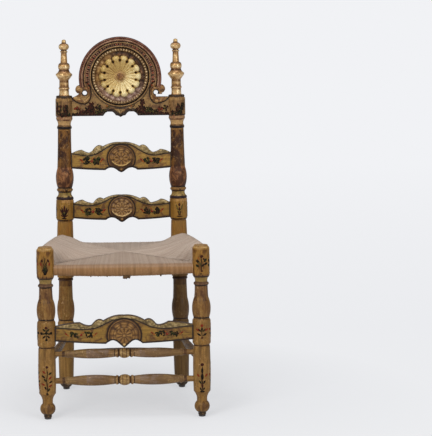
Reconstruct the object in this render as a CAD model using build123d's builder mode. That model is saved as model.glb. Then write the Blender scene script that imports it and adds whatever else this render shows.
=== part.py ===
from build123d import *

import os
from math import cos, radians, sin, tan

# A turned, carved and painted side chair with a rush seat. Millimetres, +Z up, the sitter faces -Y.
# The origin is on the floor, under the middle of the chair's box.

# Frame
front_leg_spacing = 448.0
back_post_spacing = 357.0
leg_depth = 388.0
back_rake = 1.5
post_lean = 0.5

# Fits
glue_gap = 0.15
rush_gap = 0.4
peg_gap = 0.1

# Foot glides
glide_radius = 10.0
glide_height = 6.0
glide_shank_radius = 1.6
glide_shank_length = 16.0

# Front legs, from the floor up
leg_foot_radius = 11.5
leg_ball_bottom = 13.0
leg_ball_radius = 22.3
leg_ankle_radius = 15.0
leg_ankle_bottom = 46.0
leg_ankle_top = 57.0
leg_drum_bottom = 76.0
leg_drum_radius = 25.6
leg_block_bottom = 214.0
leg_block_radius = 26.6
leg_block_top = 290.0
leg_swell_radius = 27.0
leg_waist_length = 40.0
leg_waist_radius = 18.8
leg_collar_drop = 17.0
leg_collar_radius = 22.3
leg_capital_length = 95.0
leg_capital_radius = 24.8
leg_crown_radius = 20.4
leg_crown_step = 4.5
front_leg_height = 505.0

# Back posts, from the floor up
post_foot_radius = 11.0
post_foot_top = 24.0
post_drum_low_radius = 22.0
post_drum_high_radius = 25.2
post_drum_top = 212.0
post_bulb_radius = 26.8
post_bulb_top = 280.0
post_waist_radius = 20.6
post_seat_block_bottom = 346.0
post_seat_block_radius = 26.2
post_seat_block_top = 521.0
post_rail_block_radius = 26.8
post_rail_block_top = 586.0
post_torus_radius = 26.6
post_neck_radius = 19.6
post_neck_top = 612.0
post_collar_radius = 24.8
post_vase_bottom = 624.0
post_vase_radius = 27.2
post_vase_shoulder = 684.0
post_shaft_radius = 20.9
post_ring_radius = 22.4
post_neck_length = 39.0
post_crest_block_length = 63.0
post_crest_block_radius = 26.4
post_height = 905.0

# Finials
finial_height = 170.0
finial_foot_radius = 17.5
finial_stem_radius = 14.2
finial_bulb_radius = 25.0
finial_bulb_centre = 63.0
finial_ring_radius = 17.8
finial_spire_radius = 8.8
finial_ball_radius = 15.8
finial_nub_radius = 7.0
finial_tenon_radius = 7.0
finial_tenon_length = 20.0

# Carved boards: ends and tenons
board_housing = 5.0
board_shoulder = 3.0
board_tenon_thickness = 9.0
board_tenon_inset = 8.0
board_tenon_past_centre = 5.0
board_relief = 4.0

# Carved boards: how far from the middle the figures of the two edges stand
board_notch_x = 56.0
board_knob_x = 87.0
board_valley_x = 98.0
board_leaf_x = 119.0
board_leaf_rise = 9.0
board_belly_x = 49.0
board_cove_x = 30.5
board_lip_x = 12.0

# Back rails
back_rail_thickness = 20.0
upper_rail_bottom = 683.0
upper_rail_height = 47.0
upper_rail_hump = 31.5
upper_rail_knob = 22.0
upper_rail_pendant = 13.0
upper_medallion_rise = 35.0
upper_medallion_radius = 42.0
lower_rail_bottom = 530.0
lower_rail_height = 47.0
lower_rail_hump = 23.0
lower_rail_knob = 14.0
lower_rail_pendant = 13.0
lower_medallion_rise = 30.0
lower_medallion_radius = 39.0

# Carved front stretcher
carved_stretcher_thickness = 25.0
carved_stretcher_bottom = 230.0
carved_stretcher_height = 43.0
carved_stretcher_hump = 29.0
carved_stretcher_knob = 16.5
carved_stretcher_pendant = 20.0
carved_stretcher_spread = 1.07
stretcher_medallion_rise = 14.0
stretcher_medallion_radius = 50.0

# Crest
crest_thickness = 24.0
crest_drop = 62.0
crest_end_height = 56.0
crest_leaf_x = 123.0
crest_leaf_rise = 13.0
crest_arch_x = 53.0
crest_arch_rise = 12.5
crest_lip_x = 15.0
crest_pendant = 4.0
crest_tenon_height = 30.0
roundel_radius = 125.5
roundel_rise = 114.0
recess_lift = 6.0
roundel_moulding_rise = 8.0
roundel_recess_radius = 88.0
roundel_recess_depth = 5.0
roundel_bead_width = 7.0
roundel_band_inset = 22.0
scroll_foot_drop = 33.0
scroll_lobe_inset = 1.8
scroll_lobe_radius = 12.5
scroll_eye_x = 108.0
scroll_eye_rise = 14.0
scroll_eye_radius = 6.8

# Rosette
rosette_radius = 64.0
rosette_petals = 14
rosette_thickness = 17.0
rosette_dish_depth = 9.0
button_radius = 10.0
button_rise = 6.0
button_pin_radius = 4.0

# Seat
seat_rail_radius = 10.0
side_rail_radius = 11.0
seat_rail_tenon_radius = 7.5
seat_tenon_past_centre = 4.0
front_rail_drop = 69.0
rear_rail_lift = 3.0
side_rail_drop = 28.0
side_rail_fall = 20.0
front_rush_radius = 15.0
side_rush_radius = 26.0
seat_sag = 33.0
seat_thickness = 28.0
rush_skin = 8.0

# Stretchers
stretcher_tenon_past_centre = 3.0
stretcher_collar_place = 33.0
stretcher_collar_width = 4.0
stretcher_collar_rise = 3.4
upper_stretcher_height = 191.0
upper_stretcher_radius = 14.4
upper_stretcher_end_radius = 7.4
lower_stretcher_height = 112.0
lower_stretcher_radius = 15.8
lower_stretcher_end_radius = 8.6
side_stretcher_height = 160.0
side_stretcher_radius = 12.4
side_stretcher_end_radius = 6.6
rear_stretcher_height = 112.0
rear_stretcher_radius = 13.6
rear_stretcher_end_radius = 7.4

# Pegs that pin the carved boards
peg_radius = 3.0
peg_length = 34.0

os.makedirs("parts", exist_ok=True)

# Reference places
post_crest_block_bottom = post_height - post_crest_block_length
post_shaft_top = post_crest_block_bottom - post_neck_length
crest_bottom = post_height - crest_drop
roundel_centre = crest_bottom + roundel_rise
recess_centre = roundel_centre + recess_lift
front_rail_height = front_leg_height - front_rail_drop
rear_rail_height = front_rail_height + rear_rail_lift
side_rail_front = front_leg_height - side_rail_drop
side_rail_back = side_rail_front - side_rail_fall
leg_capital_bottom = front_leg_height - leg_capital_length
leg_collar_height = leg_capital_bottom - leg_collar_drop
leg_swell_top = leg_collar_height - leg_waist_length
finial_bulb_height = post_height + finial_bulb_centre
reach_forward = max(leg_swell_radius, leg_block_radius)
reach_back = leg_depth + finial_bulb_height * tan(radians(back_rake)) + finial_bulb_radius
front_y = reach_forward - (reach_forward + reach_back) / 2
back_y = front_y + leg_depth
leg_x = front_leg_spacing / 2
up = Vector(0, sin(radians(back_rake)), cos(radians(back_rake)))
forward = Vector(0, -cos(radians(back_rake)), sin(radians(back_rake)))

# The plane of the back: X across, Y up the raked back, Z towards the sitter
back_plane = Plane(origin=(0, back_y, 0), x_dir=(1, 0, 0), z_dir=forward)
sides = {"left": -1, "right": 1}


def post_x(height):
    """How far a post's axis stands from the middle, at a height up the back."""
    return back_post_spacing / 2 - height * tan(radians(post_lean))


def post_point(side, height):
    """A point on a post's axis."""
    return back_plane.from_local_coords((side * post_x(height), height, 0))


def post_plane(side):
    """The plane through a post's axis: X outward from the axis, Y up the axis."""
    lean = radians(post_lean)
    across = Vector(1, 0, 0) * cos(lean) + up * (side * sin(lean))
    return Plane(origin=post_point(side, 0), x_dir=across, z_dir=forward)


def draw_run(steps, bulge_x, bulge_y):
    """Joins the steps, each an x, a y and a bulge: a straight line where the bulge is zero, and
    elsewhere an arc that stands that far off its chord in the direction (bulge_x, bulge_y)."""
    for (start_x, start_y, _), (end_x, end_y, bulge) in zip(steps, steps[1:]):
        if bulge == 0:
            Line((start_x, start_y), (end_x, end_y))
        else:
            middle = ((start_x + end_x) / 2 + bulge * bulge_x, (start_y + end_y) / 2 + bulge * bulge_y)
            ThreePointArc((start_x, start_y), middle, (end_x, end_y))


def turned(plane, steps):
    """A turning about the plane's Y axis, from steps of radius, height and bulge."""
    bottom, top = steps[0][1], steps[-1][1]
    with BuildPart() as blank:
        with BuildSketch(plane):
            with BuildLine():
                draw_run([(0, bottom, 0), *steps, (0, top, 0), (0, bottom, 0)], 1, 0)
            make_face()
        revolve(axis=Axis(plane.origin, plane.y_dir))
    return blank.part


def along(start, end):
    """A plane for a turning that runs from start to end, with the start as its origin."""
    run = (end - start).normalized()
    normal = run.cross(Vector(0, 0, 1)).normalized()
    return Plane(origin=start, x_dir=run.cross(normal), z_dir=normal)


def save(piece, name):
    """Labels one finished piece and writes its file."""
    piece.label = name
    export_step(piece, f"parts/{name}.step")


# Legs and posts

leg_steps = [
    (leg_foot_radius, glide_height, 0),
    (leg_foot_radius, leg_ball_bottom, 0),
    (leg_ankle_radius, leg_ankle_bottom, leg_ball_radius - (leg_foot_radius + leg_ankle_radius) / 2),
    (leg_ankle_radius, leg_ankle_top, 0),
    (leg_drum_radius - 1.4, leg_drum_bottom, -1.5),
    (leg_drum_radius - 1.4, leg_block_bottom - 5, 1.4),
    (leg_drum_radius - 2.6, leg_block_bottom - 3, 0),
    (leg_drum_radius - 2.6, leg_block_bottom, 0),
    (leg_block_radius, leg_block_bottom + 6, 0.8),
    (leg_block_radius, leg_block_top - 7, 0),
    (leg_block_radius - 3.4, leg_block_top, 0.9),
    (leg_block_radius - 3.4, leg_block_top + 4, 0),
    (leg_waist_radius + 1.7, leg_swell_top,
     leg_swell_radius - (leg_block_radius - 3.4 + leg_waist_radius + 1.7) / 2),
    (leg_waist_radius, leg_collar_height - 5, -0.4),
    (leg_waist_radius - 0.4, leg_collar_height + 4, leg_collar_radius - leg_waist_radius),
    (leg_waist_radius + 1.2, leg_capital_bottom, -1.2),
    (leg_capital_radius, leg_capital_bottom + 12, 1.6),
    (leg_capital_radius, front_leg_height - 13, 0),
    (leg_crown_radius + 1.8, front_leg_height - leg_crown_step, 0.9),
    (leg_crown_radius, front_leg_height - leg_crown_step, 0),
    (leg_crown_radius - 1, front_leg_height, 0.4),
]

post_steps = [
    (post_foot_radius, glide_height, 0),
    (post_drum_low_radius, post_foot_top, 2.4),
    (post_drum_high_radius, post_drum_top - 4, 0.5),
    (post_drum_high_radius - 2.2, post_drum_top, 0),
    (post_drum_high_radius - 2.2, post_drum_top + 5, 0),
    (post_waist_radius + 1.6, post_bulb_top,
     post_bulb_radius - (post_drum_high_radius - 0.6 + post_waist_radius) / 2),
    (post_waist_radius, post_seat_block_bottom - 8, -0.4),
    (post_waist_radius, post_seat_block_bottom, 2.8),
    (post_seat_block_radius - 1.2, post_seat_block_bottom + 3, 0),
    (post_seat_block_radius - 2.6, post_seat_block_top - 2, 1.4),
    (post_seat_block_radius - 3.2, post_seat_block_top + 2, -0.6),
    (post_rail_block_radius, post_seat_block_top + 12, 1.1),
    (post_rail_block_radius, post_rail_block_top, 0),
    (post_rail_block_radius - 1.6, post_rail_block_top + 2, 0),
    (post_torus_radius - 2.4, post_rail_block_top + 11, 1.8),
    (post_neck_radius + 1.4, post_neck_top, -2.6),
    (post_collar_radius - 1.6, post_neck_top + 3, 0),
    (post_collar_radius - 2.6, post_vase_bottom - 2, 1.8),
    (post_collar_radius - 3, post_vase_bottom, 0),
    (post_shaft_radius + 1.6, post_vase_shoulder,
     post_vase_radius - (post_collar_radius - 3 + post_shaft_radius + 1.6) / 2),
    (post_shaft_radius - 0.8, post_shaft_top, -0.5),
    (post_shaft_radius - 0.8, post_shaft_top + 11, post_ring_radius - post_shaft_radius + 0.8),
    (post_shaft_radius + 1, post_crest_block_bottom - 14, -1.4),
    (post_crest_block_radius - 2.4, post_crest_block_bottom - 10, 0),
    (post_crest_block_radius - 2.4, post_crest_block_bottom - 2, 1.0),
    (post_crest_block_radius, post_crest_block_bottom + 3, 0),
    (post_crest_block_radius, post_height - 10, 0),
    (post_crest_block_radius - 2.6, post_height - 7, 0),
    (post_crest_block_radius - 3.6, post_height, 1.4),
]

finial_steps = [
    (finial_tenon_radius, -finial_tenon_length, 0),
    (finial_tenon_radius, 0, 0),
    (finial_foot_radius, 0, 0),
    (finial_stem_radius + 0.8, 5, -0.6),
    (finial_stem_radius + 0.4, 19, 0),
    (finial_stem_radius + 0.4, 26, 2.1),
    (finial_stem_radius, finial_bulb_centre - 17, 0),
    (finial_stem_radius + 2, finial_bulb_centre - 13.5, -0.4),
    (finial_bulb_radius - 0.8, finial_bulb_centre - 2.5, 0),
    (finial_bulb_radius - 0.8, finial_bulb_centre + 3.5, 0.8),
    (finial_ring_radius - 1.6, finial_bulb_centre + 13, -1.6),
    (finial_ring_radius - 2.6, finial_bulb_centre + 15.5, 0),
    (finial_ring_radius - 2.6, finial_bulb_centre + 34, 2.6),
    (finial_spire_radius + 1.6, finial_bulb_centre + 37, 0),
    (finial_spire_radius, finial_height - 40, 0),
    (finial_spire_radius, finial_height - 34, 2.4),
    (finial_spire_radius - 0.2, finial_height - 32, 0),
    (finial_nub_radius, finial_height - 11.5,
     finial_ball_radius - (finial_spire_radius + finial_nub_radius) / 2),
    (finial_nub_radius - 0.8, finial_height - 3, 0),
    (1.2, finial_height, 1.0),
]


# Carved boards

def board_outline(half, bottom, height, spread, hump, knob, pendant):
    """A carved board's outline, one half and then the other. From the middle, the top edge runs down
    a hump to a notch, round a knob to a valley, and over a leaf to the end; the bottom edge comes
    back along a belly and a cove to a lip and a pendant."""
    top = bottom + height
    steps = [
        (0, top + hump, 0),
        (spread * board_notch_x, top + knob - 3, 0.28 * (hump - knob) + 2),
        (spread * board_knob_x, top + knob - 15, 9),
        (spread * board_valley_x, top, -1),
        (spread * board_leaf_x, top + board_leaf_rise, -1.5),
        (half - board_housing - board_shoulder, top, 2),
        (half, top, 0),
        (half, bottom, 0),
        (half - board_housing - board_shoulder, bottom, 0),
        (spread * board_belly_x, bottom - 0.46 * pendant, -1),
        (spread * board_cove_x, bottom + 0.1 * pendant, 2),
        (spread * board_lip_x, bottom - 0.5 * pendant, 2),
        (0, bottom - pendant, -1),
    ]
    for side in (1, -1):
        draw_run([(side * x, y, bulge) for x, y, bulge in steps], 0, 1)


def carved_board(plane, reach, thickness, edge, medallion_rise, medallion_radius):
    """A carved board with its tenons, which reach that far from the middle. edge is what its outline
    takes. The medallion stands in relief on the face, its centre that far above the board's bottom."""
    _, bottom, height, *_ = edge
    with BuildPart() as board:
        with BuildSketch(plane.offset(-thickness / 2)):
            with BuildLine():
                board_outline(*edge)
            make_face()
        extrude(amount=thickness)
        with BuildSketch(plane.offset(thickness / 2)):
            with BuildLine():
                board_outline(*edge)
            make_face()
            with Locations((0, bottom + medallion_rise)):
                Circle(medallion_radius, mode=Mode.INTERSECT)
        extrude(amount=board_relief)
        with BuildSketch(plane.offset(-board_tenon_thickness / 2)):
            with Locations((0, bottom + height / 2)):
                Rectangle(2 * reach, height - 2 * board_tenon_inset)
        extrude(amount=board_tenon_thickness)
    return board.part


def board_slots(plane, half, reach, bottom, top, thickness, tenon_middle, tenon_height):
    """What a carved board takes out of its two uprights: a housing for its end and a mortise."""
    with BuildPart() as slots:
        with BuildSketch(plane.offset(-thickness / 2 - glue_gap)):
            for side in (-1, 1):
                with Locations((side * half, (bottom + top) / 2)):
                    Rectangle(2 * glue_gap, top - bottom + 2 * glue_gap)
                with Locations((side * (half - board_housing), (bottom + top) / 2)):
                    Rectangle(2 * board_housing, top - bottom + 2 * glue_gap)
        extrude(amount=thickness + 2 * glue_gap)
        with BuildSketch(plane.offset(-board_tenon_thickness / 2 - glue_gap)):
            with Locations((0, tenon_middle)):
                Rectangle(2 * (reach + glue_gap), tenon_height + 2 * glue_gap)
        extrude(amount=board_tenon_thickness + 2 * glue_gap)
    return slots.part


def back_board_half(bottom, height, radius):
    """From the middle to the housed shoulder of a board between the two posts."""
    return post_x(bottom + height / 2) - radius + board_housing


upper_half = back_board_half(upper_rail_bottom, upper_rail_height, post_shaft_radius)
lower_half = back_board_half(lower_rail_bottom, lower_rail_height, post_rail_block_radius)
crest_half = back_board_half(crest_bottom, crest_end_height, post_crest_block_radius)
upper_reach = post_x(upper_rail_bottom) + board_tenon_past_centre
lower_reach = post_x(lower_rail_bottom) + board_tenon_past_centre
crest_reach = post_x(crest_bottom) + board_tenon_past_centre

upper_back_rail = carved_board(
    back_plane, upper_reach, back_rail_thickness,
    (upper_half, upper_rail_bottom, upper_rail_height, 1, upper_rail_hump, upper_rail_knob, upper_rail_pendant),
    upper_medallion_rise, upper_medallion_radius)
lower_back_rail = carved_board(
    back_plane, lower_reach, back_rail_thickness,
    (lower_half, lower_rail_bottom, lower_rail_height, 1, lower_rail_hump, lower_rail_knob, lower_rail_pendant),
    lower_medallion_rise, lower_medallion_radius)

stretcher_plane = Plane(origin=(0, front_y, 0), x_dir=(1, 0, 0), z_dir=(0, -1, 0))
stretcher_half = leg_x - leg_block_radius + board_housing
stretcher_reach = leg_x + board_tenon_past_centre
carved_front_stretcher = carved_board(
    stretcher_plane, stretcher_reach, carved_stretcher_thickness,
    (stretcher_half, carved_stretcher_bottom, carved_stretcher_height, carved_stretcher_spread,
     carved_stretcher_hump, carved_stretcher_knob, carved_stretcher_pendant),
    stretcher_medallion_rise, stretcher_medallion_radius)

# Crest rail: a board with a scroll at each shoulder and a moulded roundel over the middle
crest_top = crest_bottom + crest_end_height
crest_tenon_middle = crest_bottom + board_tenon_inset + crest_tenon_height / 2
hood_foot = roundel_centre - scroll_foot_drop
bead_outer = roundel_recess_radius + roundel_bead_width


def roundel_region(hood, ring):
    """The roundel seen from the front: an arched hood above its foot, and round the recess a whole
    ring, which stands a little higher than the hood's own centre."""
    with Locations((0, roundel_centre)):
        Circle(hood)
    with Locations((0, hood_foot - roundel_radius)):
        Rectangle(4 * roundel_radius, 2 * roundel_radius, mode=Mode.SUBTRACT)
    with Locations((0, recess_centre)):
        Circle(ring)


crest_steps = [
    (0, crest_top + crest_leaf_rise + 6, 0),
    (crest_leaf_x - 25, crest_top + crest_leaf_rise + 6, 0),
    (crest_leaf_x, crest_top + crest_leaf_rise, 0),
    (crest_half - board_housing - board_shoulder, crest_top, -2),
    (crest_half, crest_top, 0),
    (crest_half, crest_bottom, 0),
    (crest_arch_x, crest_bottom, 0),
    (crest_arch_x - 14, crest_bottom + crest_arch_rise, 2.5),
    (crest_lip_x + 12, crest_bottom + crest_arch_rise, 0),
    (crest_lip_x, crest_bottom + 1.5, 2.5),
    (crest_lip_x - 8, crest_bottom, 0),
    (0, crest_bottom - crest_pendant, 0),
]

with BuildPart() as crest_blank:
    with BuildSketch(back_plane.offset(-crest_thickness / 2)):
        roundel_region(roundel_radius, bead_outer)
        with BuildLine():
            for side in (1, -1):
                draw_run([(side * x, y, bulge) for x, y, bulge in crest_steps], 0, 1)
        make_face()
        with Locations((roundel_radius - scroll_lobe_inset, hood_foot),
                       (scroll_lobe_inset - roundel_radius, hood_foot)):
            Circle(scroll_lobe_radius)
        with Locations((scroll_eye_x, crest_top + scroll_eye_rise),
                       (-scroll_eye_x, crest_top + scroll_eye_rise)):
            Circle(scroll_eye_radius, mode=Mode.SUBTRACT)
    extrude(amount=crest_thickness)
    with BuildSketch(back_plane.offset(-board_tenon_thickness / 2)):
        for side in (-1, 1):
            with Locations((side * (crest_reach + crest_half - board_housing) / 2, crest_tenon_middle)):
                Rectangle(crest_reach - crest_half + board_housing, crest_tenon_height)
    extrude(amount=board_tenon_thickness)

# The hood's moulding is turned about its own centre, and the recess with its bead about another a
# little higher: X out from the centre, Y towards the sitter
face = crest_thickness / 2
band_face = face + roundel_moulding_rise - 4
recess_face = face - roundel_recess_depth


def roundel_plane(centre, facing):
    """A plane across the chair through the middle of a moulding that stands at this height."""
    return Plane(origin=back_plane.from_local_coords((0, centre, 0)), x_dir=(1, 0, 0), z_dir=facing)


hood_section = roundel_plane(roundel_centre, -up)
recess_section = roundel_plane(recess_centre, -up)
roundel_front = roundel_plane(recess_centre, forward)
band_inner = roundel_radius - roundel_band_inset
with BuildPart() as roundel_moulding:
    with BuildSketch(hood_section):
        with BuildLine():
            Line((0, -face), (roundel_radius - 3, -face))
            Line((roundel_radius - 3, -face), (roundel_radius, -face + 3))
            Line((roundel_radius, -face + 3), (roundel_radius, face))
            ThreePointArc((roundel_radius, face),
                          (roundel_radius - 5, face + roundel_moulding_rise),
                          (roundel_radius - 12, band_face + 1))
            ThreePointArc((roundel_radius - 12, band_face + 1),
                          ((roundel_radius - 12 + band_inner) / 2, band_face - 1),
                          (band_inner, band_face))
            Line((band_inner, band_face), (0, band_face))
            Line((0, band_face), (0, -face))
        make_face()
    revolve(axis=Axis(hood_section.origin, hood_section.y_dir))
    with BuildSketch(back_plane.offset(-crest_thickness)):
        roundel_region(roundel_radius + 1, bead_outer)
    extrude(amount=3 * crest_thickness, mode=Mode.INTERSECT)
    with BuildSketch(recess_section):
        with BuildLine():
            Line((0, recess_face), (roundel_recess_radius - 3, recess_face))
            Line((roundel_recess_radius - 3, recess_face), (roundel_recess_radius, band_face - 1))
            ThreePointArc((roundel_recess_radius, band_face - 1),
                          (roundel_recess_radius + roundel_bead_width / 2, band_face - 0.2),
                          (bead_outer, band_face - 1))
            Line((bead_outer, band_face - 1), (bead_outer, band_face + roundel_moulding_rise))
            Line((bead_outer, band_face + roundel_moulding_rise), (0, band_face + roundel_moulding_rise))
            Line((0, band_face + roundel_moulding_rise), (0, recess_face))
        make_face()
    revolve(axis=Axis(recess_section.origin, recess_section.y_dir), mode=Mode.SUBTRACT)

# The board is cut away where the mouldings stand, and the two are joined
with BuildPart() as crest_rail:
    add(crest_blank.part)
    with BuildSketch(back_plane.offset(-crest_thickness)):
        roundel_region(roundel_radius - 4, bead_outer - 1)
    extrude(amount=2 * crest_thickness, mode=Mode.SUBTRACT)
    add(roundel_moulding.part)
    with BuildSketch(roundel_front):
        Circle(button_pin_radius + glue_gap)
    extrude(amount=crest_thickness, mode=Mode.SUBTRACT)

# Rosette: petals about a dished middle, seated on the floor of the recess and pinned by its button
rosette_seat = roundel_front.offset(recess_face + glue_gap)
petal_radius = 0.205 * rosette_radius
with BuildPart() as crest_rosette:
    with BuildSketch(rosette_seat):
        Circle(rosette_radius - petal_radius)
        with PolarLocations(rosette_radius - petal_radius, rosette_petals):
            Circle(petal_radius)
    extrude(amount=rosette_thickness, taper=10)
    with BuildSketch(rosette_seat.offset(rosette_thickness - rosette_dish_depth)):
        Circle(0.30 * rosette_radius)
    extrude(amount=rosette_dish_depth + 1, taper=-50, mode=Mode.SUBTRACT)
    with BuildSketch(rosette_seat.offset(-1)):
        Circle(button_pin_radius + glue_gap)
    extrude(amount=2 * rosette_thickness, mode=Mode.SUBTRACT)
save(crest_rosette.part, "crest_rosette")

button_seat = rosette_seat.offset(rosette_thickness - rosette_dish_depth + glue_gap)
button_pin_length = rosette_thickness - rosette_dish_depth + recess_face - 1
with BuildPart() as rosette_button:
    with BuildSketch(button_seat):
        Circle(button_radius)
    extrude(amount=button_rise)
    fillet(rosette_button.faces().sort_by(Axis(button_seat.origin, button_seat.z_dir))[-1].edges(),
           radius=0.6 * button_rise)
    with BuildSketch(button_seat):
        Circle(button_pin_radius)
    extrude(amount=-button_pin_length)
save(rosette_button.part, "rosette_button")


# Pegs come in from the back, through each board's tenon

def pegs(plane, height, reach, radius, name):
    """Two pegs that pin a board's tenons in uprights of this radius."""
    head = plane.offset(-radius - 1.0)
    with BuildPart() as pair:
        with BuildSketch(head):
            with Locations((reach, height), (-reach, height)):
                Circle(peg_radius)
        extrude(amount=peg_length)
    save(pair.part, name)


def peg_holes(plane, height, reach, radius):
    """The holes of those pegs."""
    with BuildPart() as pair:
        with BuildSketch(plane.offset(-radius - 2.0)):
            with Locations((reach, height), (-reach, height)):
                Circle(peg_radius + peg_gap)
        extrude(amount=peg_length + 1.2)
    return pair.part


upper_peg = (back_plane, upper_rail_bottom + upper_rail_height / 2, post_x(upper_rail_bottom) - 3,
             post_shaft_radius)
lower_peg = (back_plane, lower_rail_bottom + lower_rail_height / 2, post_x(lower_rail_bottom) - 3,
             post_rail_block_radius)
crest_peg = (back_plane, crest_tenon_middle, post_x(crest_bottom) - 3, post_crest_block_radius)
stretcher_peg = (stretcher_plane, carved_stretcher_bottom + carved_stretcher_height / 2, leg_x - 3,
                 leg_block_radius)
pegs(*upper_peg, "upper_rail_pegs")
pegs(*lower_peg, "lower_rail_pegs")
pegs(*crest_peg, "crest_rail_pegs")
pegs(*stretcher_peg, "front_stretcher_pegs")

for board, peg, name in (
    (upper_back_rail, upper_peg, "upper_back_rail"),
    (lower_back_rail, lower_peg, "lower_back_rail"),
    (crest_rail.part, crest_peg, "crest_rail"),
    (carved_front_stretcher, stretcher_peg, "carved_front_stretcher"),
):
    with BuildPart() as pinned:
        add(board)
        add(peg_holes(*peg), mode=Mode.SUBTRACT)
    save(pinned.part, name)


# Rails and turned stretchers. Each runs between two axis points; its tenons pass them a little.

def seat_rail(start, end, radius, start_clear, end_clear, past):
    """A rounded seat rail with a shoulder outside each upright and a round tenon inside it."""
    length = (end - start).length
    return [
        (seat_rail_tenon_radius, -past, 0),
        (seat_rail_tenon_radius, start_clear + 1, 0),
        (radius, start_clear + 8, 0),
        (radius, length - end_clear - 8, 0),
        (seat_rail_tenon_radius, length - end_clear - 1, 0),
        (seat_rail_tenon_radius, length + past, 0),
    ]


def turned_stretcher(length, radius, end_radius, clear, past):
    """A stretcher with a ball in the middle, a ring each side of it and a long swell to each end."""
    middle = length / 2
    ball = radius * 1.02
    ring = ball * 1.25
    near = clear + stretcher_collar_place
    far = near + stretcher_collar_width
    collar_radius = end_radius + stretcher_collar_rise
    swell = radius - (end_radius + 1.8 + radius * 0.72) / 2
    return [
        (end_radius, -past, 0),
        (end_radius, clear + 6, 0),
        (end_radius + 1.5, near - 3, 0),
        (collar_radius, near, 0),
        (collar_radius, far, 0),
        (end_radius + 1.8, far + 3, 0),
        (radius * 0.72, middle - ring - 6, swell),
        (radius * 0.86, middle - ring - 4, 0),
        (radius * 0.86, middle - ring, 0),
        (radius * 0.66, middle - ball, 0),
        (radius * 0.66, middle + ball, ball - radius * 0.66),
        (radius * 0.86, middle + ring, 0),
        (radius * 0.86, middle + ring + 4, 0),
        (radius * 0.72, middle + ring + 6, 0),
        (end_radius + 1.8, length - far - 3, swell),
        (collar_radius, length - far, 0),
        (collar_radius, length - near, 0),
        (end_radius + 1.5, length - near + 3, 0),
        (end_radius, length - clear - 6, 0),
        (end_radius, length + past, 0),
    ]


def plain_stretcher(length, radius, end_radius, clear, past):
    """A stretcher that swells towards its middle."""
    return [
        (end_radius, -past, 0),
        (end_radius, clear + 6, 0),
        (end_radius, length - clear - 6, radius - end_radius),
        (end_radius, length + past, 0),
    ]


def leg_point(side, height):
    """A point on a front leg's axis."""
    return Vector(side * leg_x, front_y, height)


def level_post_point(side, height):
    """The point on a post's axis at a true height above the floor."""
    return post_point(side, height / cos(radians(back_rake)))


# Every member that a leg or post holds: its ends, its outline and the radius of its sockets
members = {}


def member(name, start, end, steps, socket_radius, past):
    """Keeps one round member, writes it, and remembers what it needs out of the uprights."""
    plane = along(start, end)
    piece = turned(plane, steps)
    save(piece, name)
    length = (end - start).length
    socket = turned(plane, [(socket_radius + glue_gap, -past - glue_gap, 0),
                            (socket_radius + glue_gap, length + past + glue_gap, 0)])
    members[name] = socket


def rail_member(name, start, end, radius, start_clear, end_clear):
    steps = seat_rail(start, end, radius, start_clear, end_clear, seat_tenon_past_centre)
    member(name, start, end, steps, seat_rail_tenon_radius, seat_tenon_past_centre)


rail_member("front_seat_rail", leg_point(-1, front_rail_height), leg_point(1, front_rail_height),
            seat_rail_radius, leg_capital_radius, leg_capital_radius)
rail_member("rear_seat_rail", level_post_point(-1, rear_rail_height), level_post_point(1, rear_rail_height),
            seat_rail_radius, post_seat_block_radius, post_seat_block_radius)
for word, side in sides.items():
    rail_member(f"{word}_seat_rail", leg_point(side, side_rail_front), level_post_point(side, side_rail_back),
                side_rail_radius, leg_capital_radius, post_seat_block_radius)


def front_member(name, height, radius, end_radius):
    start, end = leg_point(-1, height), leg_point(1, height)
    steps = turned_stretcher((end - start).length, radius, end_radius, leg_drum_radius,
                             stretcher_tenon_past_centre)
    member(name, start, end, steps, end_radius, stretcher_tenon_past_centre)


front_member("upper_front_stretcher", upper_stretcher_height, upper_stretcher_radius,
             upper_stretcher_end_radius)
front_member("lower_front_stretcher", lower_stretcher_height, lower_stretcher_radius,
             lower_stretcher_end_radius)


def plain_member(name, start, end, radius, end_radius, clear):
    steps = plain_stretcher((end - start).length, radius, end_radius, clear, stretcher_tenon_past_centre)
    member(name, start, end, steps, end_radius, stretcher_tenon_past_centre)


for word, side in sides.items():
    plain_member(f"{word}_side_stretcher", leg_point(side, side_stretcher_height),
                 level_post_point(side, side_stretcher_height), side_stretcher_radius,
                 side_stretcher_end_radius, leg_drum_radius)
plain_member("rear_stretcher", level_post_point(-1, rear_stretcher_height),
             level_post_point(1, rear_stretcher_height), rear_stretcher_radius,
             rear_stretcher_end_radius, post_drum_high_radius)


# Glides under the four feet: a turned disc with a shank in the leg's end
glide_steps = [
    (glide_radius - 1, 0, 0),
    (glide_radius, 1, 0),
    (glide_radius, glide_height - glue_gap, 0),
    (glide_shank_radius, glide_height - glue_gap, 0),
    (glide_shank_radius, glide_height + glide_shank_length, 0),
]
foot_planes = []
for side in sides.values():
    foot_planes.append(Plane(origin=(side * leg_x, front_y, 0), x_dir=(1, 0, 0), z_dir=(0, -1, 0)))
    foot = post_point(side, 0)
    foot_planes.append(Plane(origin=(foot.X, foot.Y, 0), x_dir=(1, 0, 0), z_dir=(0, -1, 0)))
with BuildPart() as foot_glides:
    for plane in foot_planes:
        add(turned(plane, glide_steps))
save(foot_glides.part, "foot_glides")
glide_holes = [
    turned(plane, [(glide_radius + 2, -10, 0), (glide_radius + 2, glide_height, 0),
                   (glide_shank_radius + peg_gap, glide_height, 0),
                   (glide_shank_radius + peg_gap, glide_height + glide_shank_length + 1, 0)])
    for plane in foot_planes
]


# Uprights, with the sockets of all that they hold
def rail_slots(plane, half, reach, bottom, height, thickness):
    """The housings and mortises of a board whose tenon stands in the middle of its end."""
    return board_slots(plane, half, reach, bottom, bottom + height, thickness, bottom + height / 2,
                       height - 2 * board_tenon_inset)


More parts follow.
